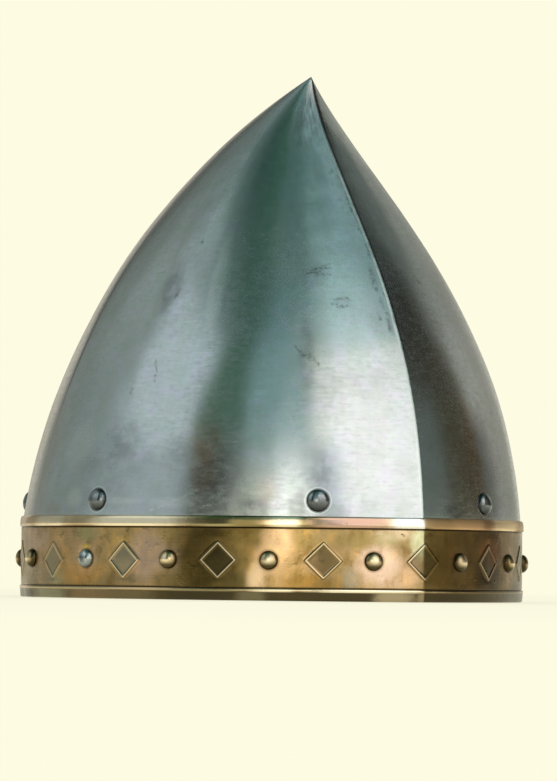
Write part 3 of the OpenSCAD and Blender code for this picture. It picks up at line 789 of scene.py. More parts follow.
# What each lozenge's mesh says of it, point by point.
LOZENGE_LOOKS = ("from_lozenge", "tarnish", "grey", "shine")
STEEL_SKIN = skull_steel()
BRASS_STRIP = aged_brass("band_brass", strip_detail)
BRASS_DOME = aged_brass("stud_brass", stud_detail)
RIVET_STEEL = bright_steel("rivet_steel", (0.34, 0.36, 0.375), (0.20, 0.22, 0.23), 0.15, 0.28,
                           4.5 * MM, RIVET_HEIGHT)
STUD_STEEL = bright_steel("stud_steel", (0.62, 0.68, 0.69), (0.40, 0.45, 0.46), 0.14, 0.3,
                          4.1 * MM, STUD_HEIGHT, painted_dark_middle=0.9, underside_shade=0.7)
LEATHER_SKIN = liner_leather()
THREAD = waxed_thread()


# Skull plates
# For each ridge, by its step: how far its rounding reaches in mm, and half the angle of its crease.
RIDGE_ROUNDING = {0: (0.8, math.radians(8.7)), 9: (3.5, math.radians(2.85)), 16: (2.0, math.radians(6.6))}
NEAR_RIDGE = np.array([0, 0.15, 0.3, 0.5, 0.75, 1.0, 1.35, 1.8, 2.4, 3.2, 4.2]) / STEP_LENGTH
UNDER_BAND_TOP = [0, 0.5, 6, 14, 22, 30]


def ridge_sink(u, size):
    """How far a plate's edge is dressed back so that its ridge is rounded, in mm."""
    sink = np.zeros_like(u)
    for ridge, (reach, half_crease) in RIDGE_ROUNDING.items():
        room = np.minimum(reach, 12 * size + 1e-6)
        away = np.abs(np.abs(u) - ridge) * STEP_LENGTH * size
        left = np.maximum(room - away, 0)
        sink += math.tan(half_crease) * left ** 2 / (2 * room)
    return sink


def skull_plate(name, node, first, last, side):
    """One quarter of the skull. side is 1 on the wearer's right and -1 on the left."""
    u = np.concatenate([first + NEAR_RIDGE, np.arange(first + 0.29, last - 0.25, 0.1),
                        (last - NEAR_RIDGE)[::-1]])
    heights = np.sin(np.linspace(0, math.pi / 2, 121)[:-1])

    def grid(inset):
        tall = SKULL_HEIGHT - TIP_SINK * inset
        z = np.concatenate([UNDER_BAND_TOP, BAND_HEIGHT + (tall - BAND_HEIGHT) * heights])
        uu, zz = np.meshgrid(u, z)
        points = skull_point(side * uu, zz, inset)
        push = hammer_waves(points, 44, 0.10, 3) + hammer_waves(points, 17, 0.02, 5)
        push = push * np.clip((zz - 30) / 25, 0, 1) * np.clip((tall - zz) / 30, 0, 1)
        push = push - ridge_sink(uu, taper(zz, tall))
        safe = np.minimum(zz, tall - 1)
        points = points + push[..., None] * skull_normal(side * uu, safe, inset)
        tip = [0, float(ridge_y(tall, tall)), tall]
        return points, np.stack([side * uu * STEP_LENGTH, zz], -1), tip

    front, uv, tip_out = grid(0.0)
    back, _, tip_in = grid(STEEL)
    made = outward(shell(name, front, back, STEEL_SKIN, uv, 30, tips=[tip_out, tip_in],
                         marks={"oil_and_shade": OIL_AND_SHADE_MARKS, "brown": BROWN_MARKS}))
    hold(made, node)


for end, first, last in (("front", 0, FRONT_STEPS), ("rear", FRONT_STEPS, ALL_STEPS)):
    for hand, side in (("right", 1), ("left", -1)):
        skull_plate("skull_%s_%s" % (end, hand), "%s_%s_plate" % (end, hand), first, last, side)


# Brass band
# The hems' outlines: how far out of the steel and how high, in mm.
LOWER_HEM = [
    (0, 0), (0.55, 0), (0.85, 0.12), (1, 0.4), (1.06, 0.9), (1.12, 1.7), (1.18, 2.5), (1.24, 3.2),
    (1.32, 3.7), (1.4, 4.05), (1.4, 4.35), (1.3, 4.62), (1.1, 4.78), (0.82, 4.86), (0.7, 4.98),
    (0.78, 5.14), (0.9, 5.4)]
UPPER_HEM = [
    (0.9, 28.4), (0.8, 28.62), (0.66, 28.76), (0.78, 28.88), (1.08, 28.96), (1.3, 29.12), (1.4, 29.45),
    (1.4, 30.2), (1.36, 31.2), (1.28, 32), (1.12, 32.7), (0.86, 33.15), (0.55, 33.36), (0.25, 33.4),
    (0, 33.4)]
LOZENGE_HALF = (7.6, 7.5)
# Where a lozenge's lines lie, from its middle (0) to its outline (1), and how high they stand.
LOZENGE_LINES = [
    (0, 0.3), (0.25, 0.3), (0.5, 0.29), (0.7, 0.27), (0.81, 0.27), (0.86, 0.5), (0.89, 0.6), (0.935, 0.6),
    (0.965, 0.48), (1, 0.1)]
# The strip round a lozenge: share of the way out to its cell's edge, and how high it stands.
AROUND_LOZENGE = [
    (0, 0.12), (0.012, -0.02), (0.03, -0.07), (0.08, -0.05), (0.2, -0.01), (0.45, 0), (0.7, 0), (1, 0)]
# Tarnish and greyness inside each lozenge, and the shine of its line on its low side and its high side
# in steps. Where a line shines little it was struck faintly. The tarnish partly paints dark reflections,
# and the shine also sets a painted highlight on the line.
LOZENGE_TONES = {8: (0.1, 0.85, 0.25, 0.3), 6: (0.08, 0.9, 0.7, 0.95), 4: (0.92, 0.0, 0.85, 0.75),
                 2: (0.6, 0.0, 0.7, 0.9), 0: (0.5, 0.0, 0.0, 0.95), -2: (0.55, 0.0, 0.05, 0.65),
                 -4: (0.4, 0.3, 0.2, 0.45), 10: (0.4, 0.4, 0.3, 0.5)}
OTHER_TONES = (0.6, 0.0, 0.8, 0.7)
# How far the lozenges that were struck off their mark lie from it, in steps and mm.
LOZENGE_SLIPS = {8: (0.07, -0.7), 6: (0.01, -0.4), 4: (-0.02, 0.0), 2: (-0.035, 0.0), 0: (-0.02, 0.0)}


class StripMesh:
    """Points of the strip, as step, height and distance out of the steel, with what they say."""

    def __init__(self):
        self.points, self.looks, self.faces, self.known = [], [], [], {}

    def add(self, u, z, out, looks=(2.0, 0.5, 0.0, 0.5)):
        key = (round(float(u), 5), round(float(z), 4), round(float(out), 4))
        if key not in self.known:
            self.known[key] = len(self.points)
            self.points.append((float(u), float(z), float(out)))
            self.looks.append(looks)
        return self.known[key]

    def face(self, *corners):
        corners = tuple(dict.fromkeys(corners))
        if len(corners) > 2:
            self.faces.append(corners)

    def lozenge(self, centre, left, right):
        """One lozenge with the strip round it, from left to right in steps."""
        slip_along, slip_up = LOZENGE_SLIPS.get(centre, (0.0, 0.0))
        tarnish, grey, low_shine, high_shine = LOZENGE_TONES.get(centre, OTHER_TONES)
        low, high = LOWER_HEM[-1][1], UPPER_HEM[0][1]

        def spot(p, q):
            """Diamond coordinates, both from -1 to 1, to a step and a height."""
            return (centre + slip_along + (p + q) / 2 * LOZENGE_HALF[0] / STEP_LENGTH,
                    STUD_HEIGHT + slip_up + (p - q) / 2 * LOZENGE_HALF[1])

        def strike(p, q, u, z, lift, away):
            side = min(max((p + q) / 0.3, -1), 1)
            shine = (low_shine + high_shine + side * (high_shine - low_shine)) / 2
            out = BAND_FACE + lift * min(1.0, 0.2 + 0.9 * shine)
            return self.add(u, z, out, (away, tarnish, grey, shine))

        lines = [-s for s, _ in LOZENGE_LINES[:0:-1]] + [s for s, _ in LOZENGE_LINES]
        rise = dict(LOZENGE_LINES)
        count = len(lines) - 1
        grid = []
        for p in lines:
            away = [max(abs(p), abs(q)) for q in lines]
            grid.append([strike(p, q, *spot(p, q), rise[a], a) for q, a in zip(lines, away)])
        for i in range(count):
            for j in range(count):
                self.face(grid[i][j], grid[i][j + 1], grid[i + 1][j + 1], grid[i + 1][j])
        # The lozenge's outline and the cell's, from the left corner over the top, right and bottom.
        edge = ([(p, -1.0) for p in lines[:-1]] + [(1.0, q) for q in lines[:-1]]
                + [(-p, 1.0) for p in lines[:-1]] + [(-1.0, -q) for q in lines[:-1]])
        corners = [(left, STUD_HEIGHT), (left, high), (centre, high), (right, high), (right, STUD_HEIGHT),
                   (right, low), (centre, low), (left, low), (left, STUD_HEIGHT)]
        outer = [(u + t * (to_u - u), z + t * (to_z - z))
                 for (u, z), (to_u, to_z) in zip(corners, corners[1:])
                 for t in np.linspace(0, 1, count // 2, endpoint=False)]
        loops = []
        for t, lift in AROUND_LOZENGE:
            loop = []
            for (p, q), (to_u, to_z) in zip(edge, outer):
                u, z = spot(p, q)
                loop.append(strike(p, q, u + t * (to_u - u), z + t * (to_z - z), lift, 1 + t))
            loops.append(loop)
        for inner, outside in zip(loops, loops[1:]):
            for i in range(len(edge)):
                j = (i + 1) % len(edge)
                self.face(inner[i], outside[i], outside[j], inner[j])
        return [{round(u, 5) for u, z in outer if abs(z - level) < 1e-6} for level in (high, low)]

    def sheet(self, ends, start, stop):
        """Faces between two levels of the strip, each a distance out of the steel and a height."""
        for a, b in zip(ends, ends[1:]):
            self.face(self.add(a, start[1], start[0]), self.add(b, start[1], start[0]),
                      self.add(b, stop[1], stop[0]), self.add(a, stop[1], stop[0]))


def brass_band():
    """The strip, cell by cell from stud to stud: each holds one embossed lozenge."""
    strip = StripMesh()
    half_gap = BAND_GAP / 2 / STEP_LENGTH
    tops, bottoms = set(), set()
    for centre in range(-14, 17, 2):
        left = centre - 1 if centre > -14 else -SEAM + half_gap
        right = centre + 1 if centre < 16 else 2 * ALL_STEPS - SEAM - half_gap
        top, bottom = strip.lozenge(centre, left, right)
        tops |= top
        bottoms |= bottom
    for hem, ends in ((UPPER_HEM, sorted(tops)), (LOWER_HEM, sorted(bottoms))):
        for start, stop in zip(hem, hem[1:]):
            strip.sheet(ends, start, stop)
    strip.sheet(sorted(tops), (0.0, BAND_HEIGHT), (0.0, 0.0))
    u, z, out = np.array(strip.points).T
    place = skull_point(u, z)
    waves = hammer_waves(place, 30, 0.05, 11) + hammer_waves(place, 9, 0.012, 12)
    lift = out + waves * np.clip(out / BAND_FACE, 0, 1)
    made = outward(piece("brass_band", place + lift[:, None] * skull_normal(u, np.zeros_like(u)),
                         strip.faces, BRASS_STRIP, np.stack([u * STEP_LENGTH, z], -1), 50,
                         dict(zip(LOZENGE_LOOKS, zip(*strip.looks)))))
    hold(made, "brow_band")


brass_band()


# Repeated hardware
def place_and_finish(n, out, points, material, shape, run=None):
    """Instances shape on the points, square to facing, then Realize Instances and Set Material."""
    def named(label):
        return n.new("GeometryNodeInputNamedAttribute", {"Name": label}, data_type="FLOAT_VECTOR")

    x, y, _ = n.split(n.new("GeometryNodeInputPosition"))
    shape = n.new("GeometryNodeStoreNamedAttribute", {
        "Geometry": shape, "Name": "from_middle",
        "Value": n.vector("LENGTH", n.join(x, y))}, data_type="FLOAT", domain="POINT")
    rotation = n.new("FunctionNodeAlignRotationToVector", {"Vector": named("facing")}, axis="Z")
    if run:
        rotation = n.new("FunctionNodeAlignRotationToVector",
                         {"Rotation": rotation, "Vector": named(run)}, axis="X", pivot_axis="Z")
    placed = n.new("GeometryNodeInstanceOnPoints", {"Points": points, "Instance": shape,
                                                    "Rotation": rotation})
    smooth = n.new("GeometryNodeSetShadeSmooth", {
        "Geometry": n.new("GeometryNodeRealizeInstances", {0: placed})})
    n.put(out, n.new("GeometryNodeSetMaterial", {"Geometry": smooth, "Material": material}))


def moved(n, shape, **change):
    return n.new("GeometryNodeTransform", {"Geometry": shape, **change})


def half_ball(n, diameter, height, segments, up=True):
    """A closed dome: a ball pressed flat on one side."""
    ball = n.new("GeometryNodeMeshUVSphere", {"Segments": segments, "Rings": 18, "Radius": 1.0})
    radius = diameter * 0.5
    x, y, z = n.split(n.new("GeometryNodeInputPosition"))
    flat = n.math("MAXIMUM" if up else "MINIMUM", z, 0.0)
    return n.new("GeometryNodeSetPosition", {
        "Geometry": moved(n, ball, Scale=n.join(radius, radius, height)), "Position": n.join(x, y, flat)})


def rivet_tree():
    """A rivet or stud: domed head on the points, shank inwards, hammered tail at its end."""
    n, out, points, head, rise, shank, grip, tail, drop, segments, material = node_group(
        "domed_rivet", "Geometry", "Mesh", {
            "Points": "Geometry", "Head Diameter": 0.0076, "Head Height": 0.0027,
            "Shank Diameter": 0.0032, "Grip": 0.0024, "Tail Diameter": 0.0051,
            "Tail Height": 0.0013, "Segments": 40, "Material": "Material"})
    down = grip * -1.0
    cylinder = n.new("GeometryNodeMeshCylinder", {"Vertices": 24, "Radius": shank * 0.5, "Depth": grip})
    joined = n.add("GeometryNodeJoinGeometry")
    for part in (half_ball(n, head, rise, segments),
                 moved(n, half_ball(n, tail, drop, segments, up=False), Translation=n.join(z=down)),
                 moved(n, cylinder, Translation=n.join(z=down * 0.5))):
        n.put(joined.inputs[0], part)
    place_and_finish(n, out, points, material, n.value(joined.outputs[0]))
    return n.tree


def washer_tree():
    """A flat washer with dressed edges, its middle on the points."""
    n, out, points, outer, hole, thick, edge, material = node_group(
        "flat_washer", "Geometry", "Mesh", {
            "Points": "Geometry", "Outer Diameter": 0.0105, "Hole Diameter": 0.0041,
            "Thickness": 0.001, "Edge Rounding": 0.0002, "Material": "Material"})
    path = n.new("GeometryNodeCurvePrimitiveCircle", {"Resolution": 48, "Radius": (outer + hole) * 0.25},
                 mode="RADIUS")
    section = n.new("GeometryNodeCurvePrimitiveQuadrilateral", {
        "Width": (outer - hole) * 0.5, "Height": thick}, mode="RECTANGLE")
    dressed = n.new("GeometryNodeFilletCurve", {
        "Curve": section, "Radius": edge, "Limit Radius": True, "Count": 3}, mode="POLY")
    ring = n.new("GeometryNodeCurveToMesh", {"Curve": path, "Profile Curve": dressed})
    place_and_finish(n, out, points, material, ring)
    return n.tree


def stitch_tree():
    """One stitch of thread laid along run and pulled into the leather at both ends."""
    n, out, points, length, thick, material = node_group("saddle_stitch", "Geometry", "Mesh", {
        "Points": "Geometry", "Stitch Length": 0.004, "Thread Diameter": 0.0009, "Material": "Material"})
    ball = n.new("GeometryNodeMeshUVSphere", {"Segments": 10, "Rings": 10, "Radius": 0.5})
    thread = moved(n, ball, Scale=n.join(length, thick, thick))
    place_and_finish(n, out, points, material, thread, run="run")
    return n.tree


def from_tree(name, tree, points, facing, values, run=None):
    """Runs a geometry tree on points (mm) and keeps its result as a plain mesh."""
    mesh = bpy.data.meshes.new(name + "_points")
    mesh.from_pydata((np.asarray(points) * MM).tolist(), [], [])
    for label, data in (("facing", facing), ("run", run)):
        if data is not None:
            layer = mesh.attributes.new(label, "FLOAT_VECTOR", "POINT")
            layer.data.foreach_set("vector", np.asarray(data, np.float32).ravel())
    carrier = add_object(name + "_points", mesh)
    modifier = carrier.modifiers.new("made", "NODES")
    modifier.node_group = tree
    for item in tree.interface.items_tree:
        if item.name in values:
            modifier[item.identifier] = values[item.name]
    bpy.context.view_layer.update()
    ready = carrier.evaluated_get(bpy.context.evaluated_depsgraph_get())
    result = bpy.data.meshes.new_from_object(ready)
    result.name = name
    carrier.modifiers.remove(modifier)
    bpy.data.objects.remove(carrier)
    result.set_sharp_from_angle(angle=math.radians(50))
    return add_object(name, result)


DOMED_RIVET = rivet_tree()
FLAT_WASHER = washer_tree()
SADDLE_STITCH = stitch_tree()
RIVET_SIZES = ("Head Diameter", "Head Height", "Shank Diameter", "Grip", "Tail Diameter", "Tail Height")
# How far a dome is let into the face under it, in mm.
SEATED = 0.06


def rivets(name, node, points, facing, sizes, segments, material):
    """Rivets with their heads on the points. The sizes are in mm, in the order of RIVET_SIZES."""
    values = {label: float(size) * MM for label, size in zip(RIVET_SIZES, sizes)}
    made = from_tree(name, DOMED_RIVET, points, facing,
                     {**values, "Segments": segments, "Material": material})
    hold(made, node)


def studs(name, node, steps, material):
    """Studs through the band and the plates, at the given steps."""
    u = np.array(steps, float)
    z = np.full(len(u), STUD_HEIGHT)
    rivets(name, node, band_point(u, z, np.full(len(u), BAND_FACE - SEATED)),
           skull_normal(u, np.zeros(len(u))), (7.6, 2.76, 3.2, BAND_FACE + STEEL, 5.1, 1.3), 40, material)


studs("brass_studs", "band_studs", [k for k in range(-15, 17, 2) if k != STEEL_STUD], BRASS_DOME)
studs("steel_stud", "band_steel_stud", [STEEL_STUD], STUD_STEEL)


def leather_depth(u):
    """Depth of the headband's inner face under a washer at step u."""
    reach = WASHER_DIAMETER / 2 / np.linalg.norm(
        skull_point(u + 0.5, RIVET_HEIGHT) - skull_point(u - 0.5, RIVET_HEIGHT))
    square = skull_normal(np.float64(u), np.float64(RIVET_HEIGHT))
    return max(float((skull_point(u, RIVET_HEIGHT)
                      - skull_point(u + s, RIVET_HEIGHT, HEADBAND_INSET + LEATHER)) @ square)
               for s in (-reach, 0, reach))


def liner_hardware():
    """The seven liner rivets and their washers. The grip is the mean of the seven places."""
    u = np.array(RIVET_STATIONS, float)
    z = np.full(len(u), RIVET_HEIGHT)
    square = skull_normal(u, z)
    surface = skull_point(u, z)
    seats = np.array([leather_depth(s) + GAP + WASHER_THICKNESS for s in u])
    rivets("liner_rivet_set", "liner_rivets", surface - SEATED * square, square,
           (9.0, 2.76, 4.0, seats.mean(), 6.4, 1.3), 44, RIVET_STEEL)
    middle = surface - (seats - WASHER_THICKNESS / 2)[:, None] * square
    rings = from_tree("washer_set", FLAT_WASHER, middle, square,
                      {"Outer Diameter": WASHER_DIAMETER * MM, "Hole Diameter": 4.1 * MM,
                       "Thickness": WASHER_THICKNESS * MM, "Edge Rounding": 0.2 * MM,
                       "Material": RIVET_STEEL})
    hold(rings, "liner_washers")


liner_hardware()


# Leather liner
# How far from their edges the leather pieces are rounded, and places across that, in mm.
ROUNDED = 1.2
EDGE = np.array([0.0, 0.08, 0.3, 0.65, ROUNDED])
# How far down the headband the tongues are sewn, and the liner's arc for each radian up it, in mm.
FOOT = 20.0
DOME_ARC = 78.0
# Degrees up the liner for each mm at the crown patch's edge.
CROWN_DEGREES = 0.75
# The tongues' middles: the steps halfway between the liner rivets.
TONGUE_MIDDLES = [(a + (b + 2 * ALL_STEPS if b < a else b)) / 2
                  for a, b in zip(RIVET_STATIONS, RIVET_STATIONS[1:] + RIVET_STATIONS[:1])]


def leather_shell(name, node, place, u, v, edge, inset, uv, ring=False, tips=None):
    """Leather between inset and inset + its thickness. edge is the distance to the piece's edge."""
    half = LEATHER / 2
    share = np.sqrt(1 - (1 - np.clip(edge / ROUNDED, 0, 1)) ** 2)
    middle = inset + half
    front = place(u, v, middle - half * share)
    back = place(u, v, middle + half * share)
    made = shell(name, front, back, LEATHER_SKIN, uv, 80, ring, tips)
    hold(outward(made), node)


def headband():
    """The leather strap round the head, held by the liner rivets."""
    height = HEADBAND_TOP - HEADBAND_BOTTOM
    rows = np.unique(np.concatenate([EDGE, np.linspace(ROUNDED, height - ROUNDED, 18), height - EDGE]))
    steps = np.arange(-ALL_STEPS + 0.125, ALL_STEPS + 0.01, 0.125)
    uu, vv = np.meshgrid(steps, rows)
    leather_shell("leather_headband", "liner_headband", skull_point, uu, HEADBAND_BOTTOM + vv,
                  np.minimum(vv, height - vv), HEADBAND_INSET, np.stack([uu * STEP_LENGTH, vv], -1),
                  ring=True)


def tongue_half_steps(middle, angle, inset):
    """A tongue's width in mm at an angle up it, and half of that in steps."""
    width = TONGUE_FOOT + (TONGUE_TIP - TONGUE_FOOT) * (
        np.sin(np.radians(np.maximum(angle, 0))) / math.sin(math.radians(TONGUE_END))) ** 2
    step = np.linalg.norm(liner_point(middle + 0.5, angle, inset)
                          - liner_point(middle - 0.5, angle, inset), axis=-1)
    return width, width / 2 / step


def tongue(number, middle):
    """One leather tongue, from its foot inside the headband to its tip under the crown patch."""
    end = FOOT + math.radians(TONGUE_END) * DOME_ARC
    lengths = np.unique(np.concatenate([EDGE, np.linspace(ROUNDED, end - ROUNDED, 44), end - EDGE]))
    angles = np.where(lengths < FOOT, lengths - FOOT, np.degrees(np.maximum(lengths - FOOT, 0) / DOME_ARC))
    width, half_steps = tongue_half_steps(middle, angles, TONGUE_INSET)
    inner = 1 - 2 * ROUNDED / width
    share = np.array([np.concatenate([2 * EDGE / w - 1, np.linspace(-most, most, 17)[1:-1],
                                      (1 - 2 * EDGE / w)[::-1]]) for w, most in zip(width, inner)])
    uu = middle + half_steps[:, None] * share
    vv = np.repeat(angles[:, None], share.shape[1], axis=1)
    side = (1 - np.abs(share)) * width[:, None] / 2
    length = np.repeat(lengths[:, None], share.shape[1], axis=1)
    edge = np.minimum(side, np.minimum(length, end - length))
    uv = np.stack([share * width[:, None] / 2, length], -1)
    leather_shell("leather_tongue_%d" % number, "liner_tongue_%d" % number, liner_point, uu, vv, edge,
                  TONGUE_INSET, uv)


def crown_patch():
    """The round patch over the tongues' tips."""
    inset = TONGUE_INSET - LEATHER - GAP
    angles = np.concatenate([CROWN_START + EDGE * CROWN_DEGREES, np.linspace(66, 88.5, 16)])
    steps = np.arange(-ALL_STEPS + 0.25, ALL_STEPS + 0.01, 0.25)
    uu, vv = np.meshgrid(steps, angles)
    edge = (vv - CROWN_START) / CROWN_DEGREES
    tips = [[0, CROWN_Y, HEAD_DEPTH + TONGUE_INSET + LEATHER - i] for i in (inset, inset + LEATHER)]
    leather_shell("leather_crown", "liner_crown", liner_point, uu, vv, edge, inset,
                  np.stack([uu * STEP_LENGTH * 0.3, vv], -1), ring=True, tips=tips)


def stitch_line(u, angle, inset):
    """Stitches along a line of the liner, on the face that looks into the helmet."""
    here = liner_point(u, angle, inset)
    way = unit(np.roll(here, -1, axis=0) - np.roll(here, 1, axis=0))
    way[0], way[-1] = way[1], way[-2]
    deeper = liner_point(u, angle, inset + 1.0)
    return here, unit(deeper - here), way


def liner_stitches():
    """Two rows along each tongue's foot, and one that holds its tip to the crown patch."""
    rows = [(middle, level, 0.9, 12) for middle in TONGUE_MIDDLES for level in (-16.0, -12.0)]
    rows += [(middle, 70.0, 0.7, 4) for middle in TONGUE_MIDDLES]
    lines = []
    for middle, level, reach, count in rows:
        _, half = tongue_half_steps(middle, np.float64(level), TONGUE_INSET)
        spots = middle + float(half) * np.linspace(-reach, reach, count)
        lines.append(stitch_line(spots, np.full(count, level), TONGUE_INSET + LEATHER))
    where, square, run = (np.concatenate(part) for part in zip(*lines))
    made = from_tree("liner_stitches", SADDLE_STITCH, where, square,
                     {"Stitch Length": 3.6 * MM, "Thread Diameter": 0.9 * MM, "Material": THREAD}, run=run)
    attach(made, "root")


headband()
for index, centre_step in enumerate(TONGUE_MIDDLES):
    tongue(index + 1, centre_step)
crown_patch()
liner_stitches()


# Studio
CAMERA_TURN = math.radians(31.35212)
CAMERA_AWAY = 1.91983
CAMERA_HEIGHT = 0.012
CAMERA_AIM_Y = -0.00192
CAMERA_PITCH = 0.038972
CAMERA_ROLL = 0.011767
FOCAL_PIXELS = 4612.946
LONG_SIDE_PIXELS = 781
CREAM = (0.984, 0.965, 0.761, 1)
SOFTBOX_AWAY = 2.4
CARDS_AWAY = 3.0
FLOOR_REACH = 40
FLOOR_CORNERS = 64

to_camera = Vector((-math.sin(CAMERA_TURN), -math.cos(CAMERA_TURN), 0))
picture_right = Vector((math.cos(CAMERA_TURN), -math.sin(CAMERA_TURN), 0))
studio_middle = Vector((0, 0, 0.09))


def studio_point(azimuth, elevation, distance):
    """A place in the studio: azimuth from the camera towards the picture's right, in degrees."""
    a, e = math.radians(azimuth), math.radians(elevation)
    way = (to_camera * math.cos(a) + picture_right * math.sin(a)) * math.cos(e)
    return studio_middle + (way + Vector((0, 0, math.sin(e)))) * distance


def add_camera():
    data = bpy.data.cameras.new("camera")
    made = add_object("camera", data)
    data.sensor_width = 36
    data.lens = FOCAL_PIXELS * data.sensor_width / LONG_SIDE_PIXELS
    data.clip_start, data.clip_end = 0.05, 200
    level = Vector((math.sin(CAMERA_TURN), math.cos(CAMERA_TURN), 0))
    ahead = level * math.cos(CAMERA_PITCH) + Vector((0, 0, math.sin(CAMERA_PITCH)))
    up = picture_right.cross(ahead)
    right = picture_right * math.cos(CAMERA_ROLL) + up * math.sin(CAMERA_ROLL)
    up = up * math.cos(CAMERA_ROLL) - picture_right * math.sin(CAMERA_ROLL)
    turn = Matrix((right, up, -ahead)).transposed().to_4x4()
    spot = to_camera * CAMERA_AWAY + Vector((0, CAMERA_AIM_Y, CAMERA_HEIGHT))
    made.matrix_world = Matrix.Translation(spot) @ turn
    bpy.context.scene.camera = made


def softbox(name, azimuth, elevation, wide, high, colour, level):
    """A lamp behind a diffuser. level is its brightness, where 1 is white."""
    data = bpy.data.lights.new(name, "AREA")
    data.shape = "RECTANGLE"
    data.size, data.size_y = wide, high
    data.color = colour
    data.energy = 4 / math.pi * wide * high * level
    made = add_object(name, data)
    spot = studio_point(azimuth, elevation, SOFTBOX_AWAY)
    made.location = spot
    made.rotation_mode = "QUATERNION"
    made.rotation_quaternion = (studio_middle - spot).to_track_quat("-Z", "Y")


def card(name, left, right, bottom, top, low, high, distance):
    """A studio card or flag bent round the helmet, seen only in its reflections."""
    cols, rows = 9, 7
    vertices, shades = [], []
    for i in range(rows):
        t = i / (rows - 1)
        for j in range(cols):
            vertices.append(studio_point(left + (right - left) * j / (cols - 1),
                                         bottom + (top - bottom) * i / (rows - 1), distance))
            shades.append([x + (y - x) * t for x, y in zip(low, high)] + [1.0])
    faces = [(i * cols + j, i * cols + j + 1, (i + 1) * cols + j + 1, (i + 1) * cols + j)
             for i in range(rows - 1) for j in range(cols - 1)]
    mesh = bpy.data.meshes.new(name)
    mesh.from_pydata(vertices, [], faces)
    layer = mesh.attributes.new("shade", "FLOAT_COLOR", "POINT")
    layer.data.foreach_set("color", np.array(shades, np.float32).ravel())
    made_of = bpy.data.materials.new(name)
    n = cleared(made_of)
    glow = n.new("ShaderNodeEmission", {0: n.attribute("shade", "Color")})
    n.add("ShaderNodeOutputMaterial", {0: glow})
    mesh.materials.append(made_of)
    made = add_object(name, mesh)
    made.visible_camera = made.visible_diffuse = made.visible_shadow = False
    made.visible_transmission = made.visible_volume_scatter = False


def shown_ray(n):
    """1 for rays that show the background: camera, glossy and transmission rays."""
    rays = n.add("ShaderNodeLightPath").outputs
    camera, glossy, through = (n.value(rays["Is %s Ray" % kind])
                               for kind in ("Camera", "Glossy", "Transmission"))
    return n.math("ADD", camera + glossy, through, clamp=True)


def cream_world():
    world = bpy.data.worlds.new("studio")
    bpy.context.scene.world = world
    n = cleared(world)
    plain = n.new("ShaderNodeBackground", {0: (1, 1, 1, 1), 1: 0.85})
    shown = n.new("ShaderNodeBackground", {0: CREAM, 1: 1.0})
    either = n.new("ShaderNodeMixShader", {0: shown_ray(n), 1: plain, 2: shown})
    n.add("ShaderNodeOutputWorld", {0: either})


def pale_floor():
    """A cream floor that keeps the helmet's shadow near it and meets the background far off.

    From under it the floor is clear, so that the liner shows.
    """
    mesh = bpy.data.meshes.new("floor")
    rim = [(FLOOR_REACH * math.cos(a), FLOOR_REACH * math.sin(a), -0.0002)
           for a in np.linspace(0, 2 * math.pi, FLOOR_CORNERS, endpoint=False)]
    mesh.from_pydata(rim, [], [tuple(range(FLOOR_CORNERS))])
    made_of = bpy.data.materials.new("floor")
    n = cleared(made_of)
    far = n.remap(n.vector("LENGTH", n.new("ShaderNodeTexCoord", output="Object")), 0.35, 1.1)
    matte = n.new("ShaderNodeBsdfDiffuse", {0: CREAM})
    glow = n.new("ShaderNodeEmission", {0: CREAM, 1: 1.0})
    share = n.remap(far, 0.0, 1.0, 0.72, 1.0) * shown_ray(n)
    from_above = n.new("ShaderNodeMixShader", {0: share, 1: matte, 2: glow})
    under = n.new("ShaderNodeNewGeometry", output="Backfacing")
    clear = n.new("ShaderNodeBsdfTransparent")
    either = n.new("ShaderNodeMixShader", {0: under, 1: from_above, 2: clear})
    n.add("ShaderNodeOutputMaterial", {0: either})
    mesh.materials.append(made_of)
    add_object("floor", mesh)


